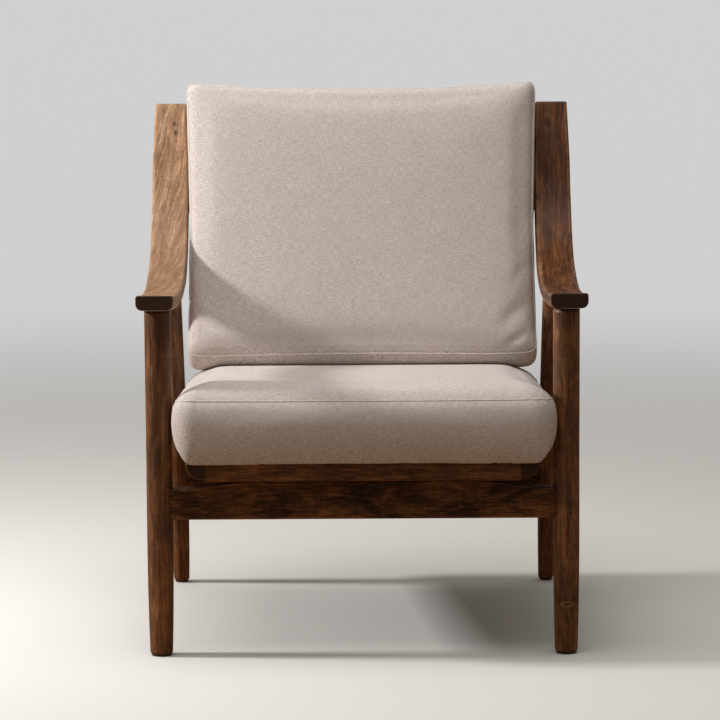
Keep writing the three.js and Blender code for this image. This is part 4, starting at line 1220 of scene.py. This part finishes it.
screw_head, screw_shank, screw_length, screw_neck, screw_point = 4.6 * MM, 2.25 * MM, 44 * MM, 3.2 * MM, 5 * MM
thread_pitch, thread_depth, thread_top, thread_start, socket_reach = 2.4 * MM, 0.45 * MM, 14 * MM, 3 * MM, 1.9 * MM
zip_half_width, zip_thick, zip_ease, zip_bare_end, zip_share = 5.8 * MM, 0.7 * MM, 0.25 * MM, 6 * MM, 0.72
tooth_pitch, tooth_half_length, tooth_half_width, tooth_row = 2.1 * MM, 0.62, 1.15, 0.85 * MM
seat_zip_sink, back_zip_sink, back_zip_drop = 0.9 * MM, 0.2 * MM, 0.55


def strap_piece(index, material):
    """A flat strap across the side rails: a thin rounded section whose middle line sags by a parabola
    between the rails and lies level on them."""
    name = f"webbing_strap_{index}"
    _, y, z = np.mean(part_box(name), axis=0)
    half_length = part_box(name)[1][0]
    outline, _ = oblong(strap_half_width, -strap_thick / 2, strap_thick / 2, strap_ease, strap_ease, 3)
    x = np.linspace(-half_length, half_length, 70)[:, None]
    sag = -strap_sag * np.clip(1 - (x / rail_inner) ** 2, 0, 1)
    narrow = np.where(np.abs(x) < half_length, 1, 0.92)
    rings = stacked(x, narrow * outline[:, 0], sag + outline[:, 1])
    skinned(f"elastic_strap_{index}", turned_about_x(rings, -seat_pitch, (0, y, z)), material, "chair_frame",
            "webbing", [name], board=rings)


def screw_piece(index, material):
    """A countersunk wood screw: rings round its axis whose radius grows from the point to the shank, with a
    thread as a wave of height less turn, and a six-sided socket sunk in its head."""
    name = f"frame_screw_{index}"
    angles = np.linspace(0, FULL_TURN, 30, endpoint=False)
    z = np.linspace(-screw_length, -screw_neck, 110)[:, None]
    core = screw_shank * np.clip((z + screw_length) / screw_point, 0.05, 1)
    threaded = np.clip((-thread_top - z) / thread_start, 0, 1) * core / screw_shank
    wave = np.cos(FULL_TURN * z / thread_pitch - angles) ** 4
    socket = socket_reach * np.cos(math.pi / 6) / np.cos((angles % (math.pi / 3)) - math.pi / 6)
    head = [(screw_head - 0.15 * MM, -0.25 * MM), (screw_head, -0.1 * MM), (screw_head - 0.1 * MM, 0),
            (screw_neck, 0), (socket, 0), (socket * 0.96, -0.3 * MM), (socket * 0.9, -1.7 * MM)]
    radii = np.vstack([core - thread_depth * threaded * (1 - wave), *(radius + 0 * angles for radius, _ in head)])
    heights = np.vstack([z, *([height] for _, height in head)])
    x, y, _ = np.mean(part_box(name), axis=0)
    sin = math.sin(seat_pitch)
    top = (x, y + screw_length / 2 * sin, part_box(name)[1][2] - screw_head * sin)
    world = turned_about_x(stacked(radii * np.cos(angles), radii * np.sin(angles), heights), -seat_pitch, top)
    skinned(f"wood_screw_{index}", world, material, "chair_frame", "screw_steel", [name])


def glide_piece(name, material):
    """A felt disc: rings round its axis, with its rim rounded over a half circle and its faces level."""
    low, high = np.array(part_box(name))
    radius, _, thick = (high - low) * (0.5, 0.5, 1)
    bend = np.linspace(-math.pi / 2, math.pi / 2, 9)
    radii = np.concatenate([[0.4, 0.8], 1 - thick / 2 / radius * (1 - np.cos(bend)), [0.8, 0.4]])[:, None] * radius
    heights = np.concatenate([[0, 0], thick / 2 * (1 + np.sin(bend)), [thick, thick]])[:, None]
    cos, sin = circle(40)
    x, y, _ = (low + high) / 2
    skinned(f"felt_{name}", stacked(x + radii * cos, y + radii * sin, low[2] + heights), material, "chair_frame",
            "glide_felt", [name])


def zip_pieces(word, half_length, place, tape, coil):
    """A closed zip in its own plane, x along it and z out of it: a thin tape, two rows of teeth that are
    small lozenges repeated along it half a step apart, and a slider with its tab."""
    body = f"{word}_cushion"
    outline, _ = oblong(zip_half_width, 0, zip_thick, zip_ease, zip_ease, 2)
    rings = stacked(np.linspace(-half_length, half_length, 60)[:, None], outline[:, 0], outline[:, 1])
    skinned(f"{word}_zip_tape", place(rings), tape, body, "zip", [f"{body}_zip"], board=rings)
    count = int(2 * (half_length - zip_bare_end) / tooth_pitch)
    x = (np.arange(count) - (count - 1) / 2) * tooth_pitch
    size, height = np.array([(0.8, 1.0, 0.6), (0.0, 0.5, 1.0)])[..., None] * MM
    cos, sin = circle(6)
    tooth, faces = skin(stacked(tooth_half_length * size * cos, tooth_half_width * size * sin, zip_thick + height))
    offsets = np.concatenate([stacked(x + side * tooth_pitch / 4, side * tooth_row, 0) for _, side in SIDES])
    jump = (np.arange(len(offsets)) * len(tooth))[:, None, None]
    put_mesh(f"{word}_zip_teeth", place((tooth + offsets[:, None]).reshape(-1, 3)),
             [(block + jump).reshape(-1, block.shape[1]) for block in faces], coil, body, "zip")
    squarish_x, squarish_y = (np.sign(way) * np.abs(way) ** 0.5 for way in circle(28))
    size = np.array([0.86, 1.0, 1.0, 0.9, 0.6])[:, None] * MM
    for part_word, long, wide, reach, levels in (
            ("slider", 4.2, 3.6, 12 * MM, (0.7, 1.0, 2.0, 2.5, 2.7)),
            ("tab", 9.0, 2.2, 22 * MM, (2.7, 2.8, 3.1, 3.3, 3.4))):
        rings = stacked(half_length - reach + long * size * squarish_x, wide * size * squarish_y,
                        np.array(levels)[:, None] * MM)
        skinned(f"{word}_zip_{part_word}", place(rings), steel, body, "zip")


def on_seat_rear(points):
    """From the zip's plane to the rear side of the seat cushion, facing backwards."""
    x, y, z = apart(points)
    return place_seat(stacked(x, seat_half[1] - seat_zip_sink + z, seat_box_height / 2 + y))


def on_back_rear(points):
    """From the zip's plane to the rear face of the back cushion, facing backwards."""
    x, y, z = apart(points)
    return place_back(stacked(x, y - back_zip_drop * back_half[1], back_zip_sink - z))


webbing, steel, felt = webbing_material(), steel_material(), felt_material()
for strap_index in range(1, 8):
    strap_piece(strap_index, webbing)
for screw_index in range(1, 5):
    screw_piece(screw_index, steel)
for end_word, side_word in corners:
    glide_piece(f"{end_word}_glide_{side_word}", felt)
zip_tape, zip_coil = tape_material(), teeth_material()
zip_pieces("seat", zip_share * seat_half[0], on_seat_rear, zip_tape, zip_coil)
zip_pieces("back", zip_share * back_half[0], on_back_rear, zip_tape, zip_coil)


# ---------------------------------------------------------------- stage, light and camera

def camera_at(place, pitch, yaw, roll, lens):
    """Aims a camera from its place by yaw, pitch and roll in degrees, looking along +y at rest."""
    pitch, yaw, roll = (math.radians(angle) for angle in (pitch, yaw, roll))
    ahead = Vector((math.sin(yaw) * math.cos(pitch), math.cos(yaw) * math.cos(pitch), -math.sin(pitch)))
    level = Vector((math.cos(yaw), -math.sin(yaw), 0))
    above = level.cross(ahead)
    right = math.cos(roll) * level + math.sin(roll) * above
    up = math.cos(roll) * above - math.sin(roll) * level
    lens_data = bpy.data.cameras.new("camera")
    lens_data.lens, lens_data.sensor_width, lens_data.clip_end = lens, 36, 200
    viewer = linked("camera", lens_data)
    viewer.matrix_world = Matrix.Translation(place) @ Matrix((right, up, -ahead)).transposed().to_4x4()
    bpy.context.scene.camera = viewer


def area_light(name, place, target, size, power):
    lamp = bpy.data.lights.new(name, "AREA")
    lamp.shape, lamp.size, lamp.size_y, lamp.energy = "RECTANGLE", size, size, power
    holder = linked(name, lamp)
    holder.location = place
    holder.rotation_euler = (Vector(target) - Vector(place)).to_track_quat("-Z", "Y").to_euler()


def studio_floor(reach):
    """A wide level floor, pale to the camera and a dull brown grey to the light that it throws back. Far
    off, the camera sees it fade into the world behind. From underneath it is clear."""
    mesh = bpy.data.meshes.new("studio_floor")
    mesh.from_pydata([(-reach, -reach, 0), (reach, -reach, 0), (reach, reach, 0), (-reach, reach, 0)], [],
                     [(0, 1, 2, 3)])
    paint = Paint("pale_floor")
    seen = paint.add("LightPath").outputs["Is Camera Ray"]
    away = paint.vector("LENGTH", paint.place(), output="Value")
    far = paint.math("MULTIPLY", seen, paint.ramp(away, 0.9, 4.5))
    base = paint.mixed(seen, colour(146, 116, 86), colour(228, 225, 220))
    mesh.materials.append(paint.done(
        Base_Color=paint.mixed(far, base, colour(0, 0, 0)), Emission_Color=(1, 1, 1, 1),
        Emission_Strength=paint.math("MULTIPLY", far, world_shown), Roughness=0.9, Specular_IOR_Level=0.1))
    from_below, clear = paint.add("NewGeometry").outputs["Backfacing"], paint.add("BsdfTransparent").outputs[0]
    either = paint.add("MixShader", values=(from_below, paint.shader.outputs[0], clear))
    paint.fill(paint.output.inputs["Surface"], either.outputs[0])
    linked("studio_floor", mesh)


def studio_world(level, shown):
    """Even light at a level, a little warm. The camera sees a pale grey instead."""
    world = bpy.data.worlds.new("studio")
    bpy.context.scene.world = world
    world.use_nodes = True
    sky = Nodes(world.node_tree)
    back = sky.tree.nodes["Background"]
    seen = sky.add("LightPath").outputs["Is Camera Ray"]
    sky.fill(back.inputs["Color"], sky.mixed(seen, colour(255, 247, 238), colour(255, 255, 255)))
    sky.fill(back.inputs["Strength"], sky.math("ADD", sky.math("MULTIPLY", seen, shown - level), level))


world_level, world_shown = 0.24, 0.62
bpy.context.scene.view_settings.view_transform = "Standard"
studio_floor(60)
studio_world(world_level, world_shown)
area_light("key", (-2.00, -0.20, 1.42), (-0.15, 0.15, 0.5), 0.24, 42)
area_light("overhead", (-0.3, -0.5, 3.2), (0, 0, 0.4), 2.2, 50)
camera_at((0.0044, front_leg_y - 6.063, 1.2479), 7.544, -0.073, -0.353, 205.55)
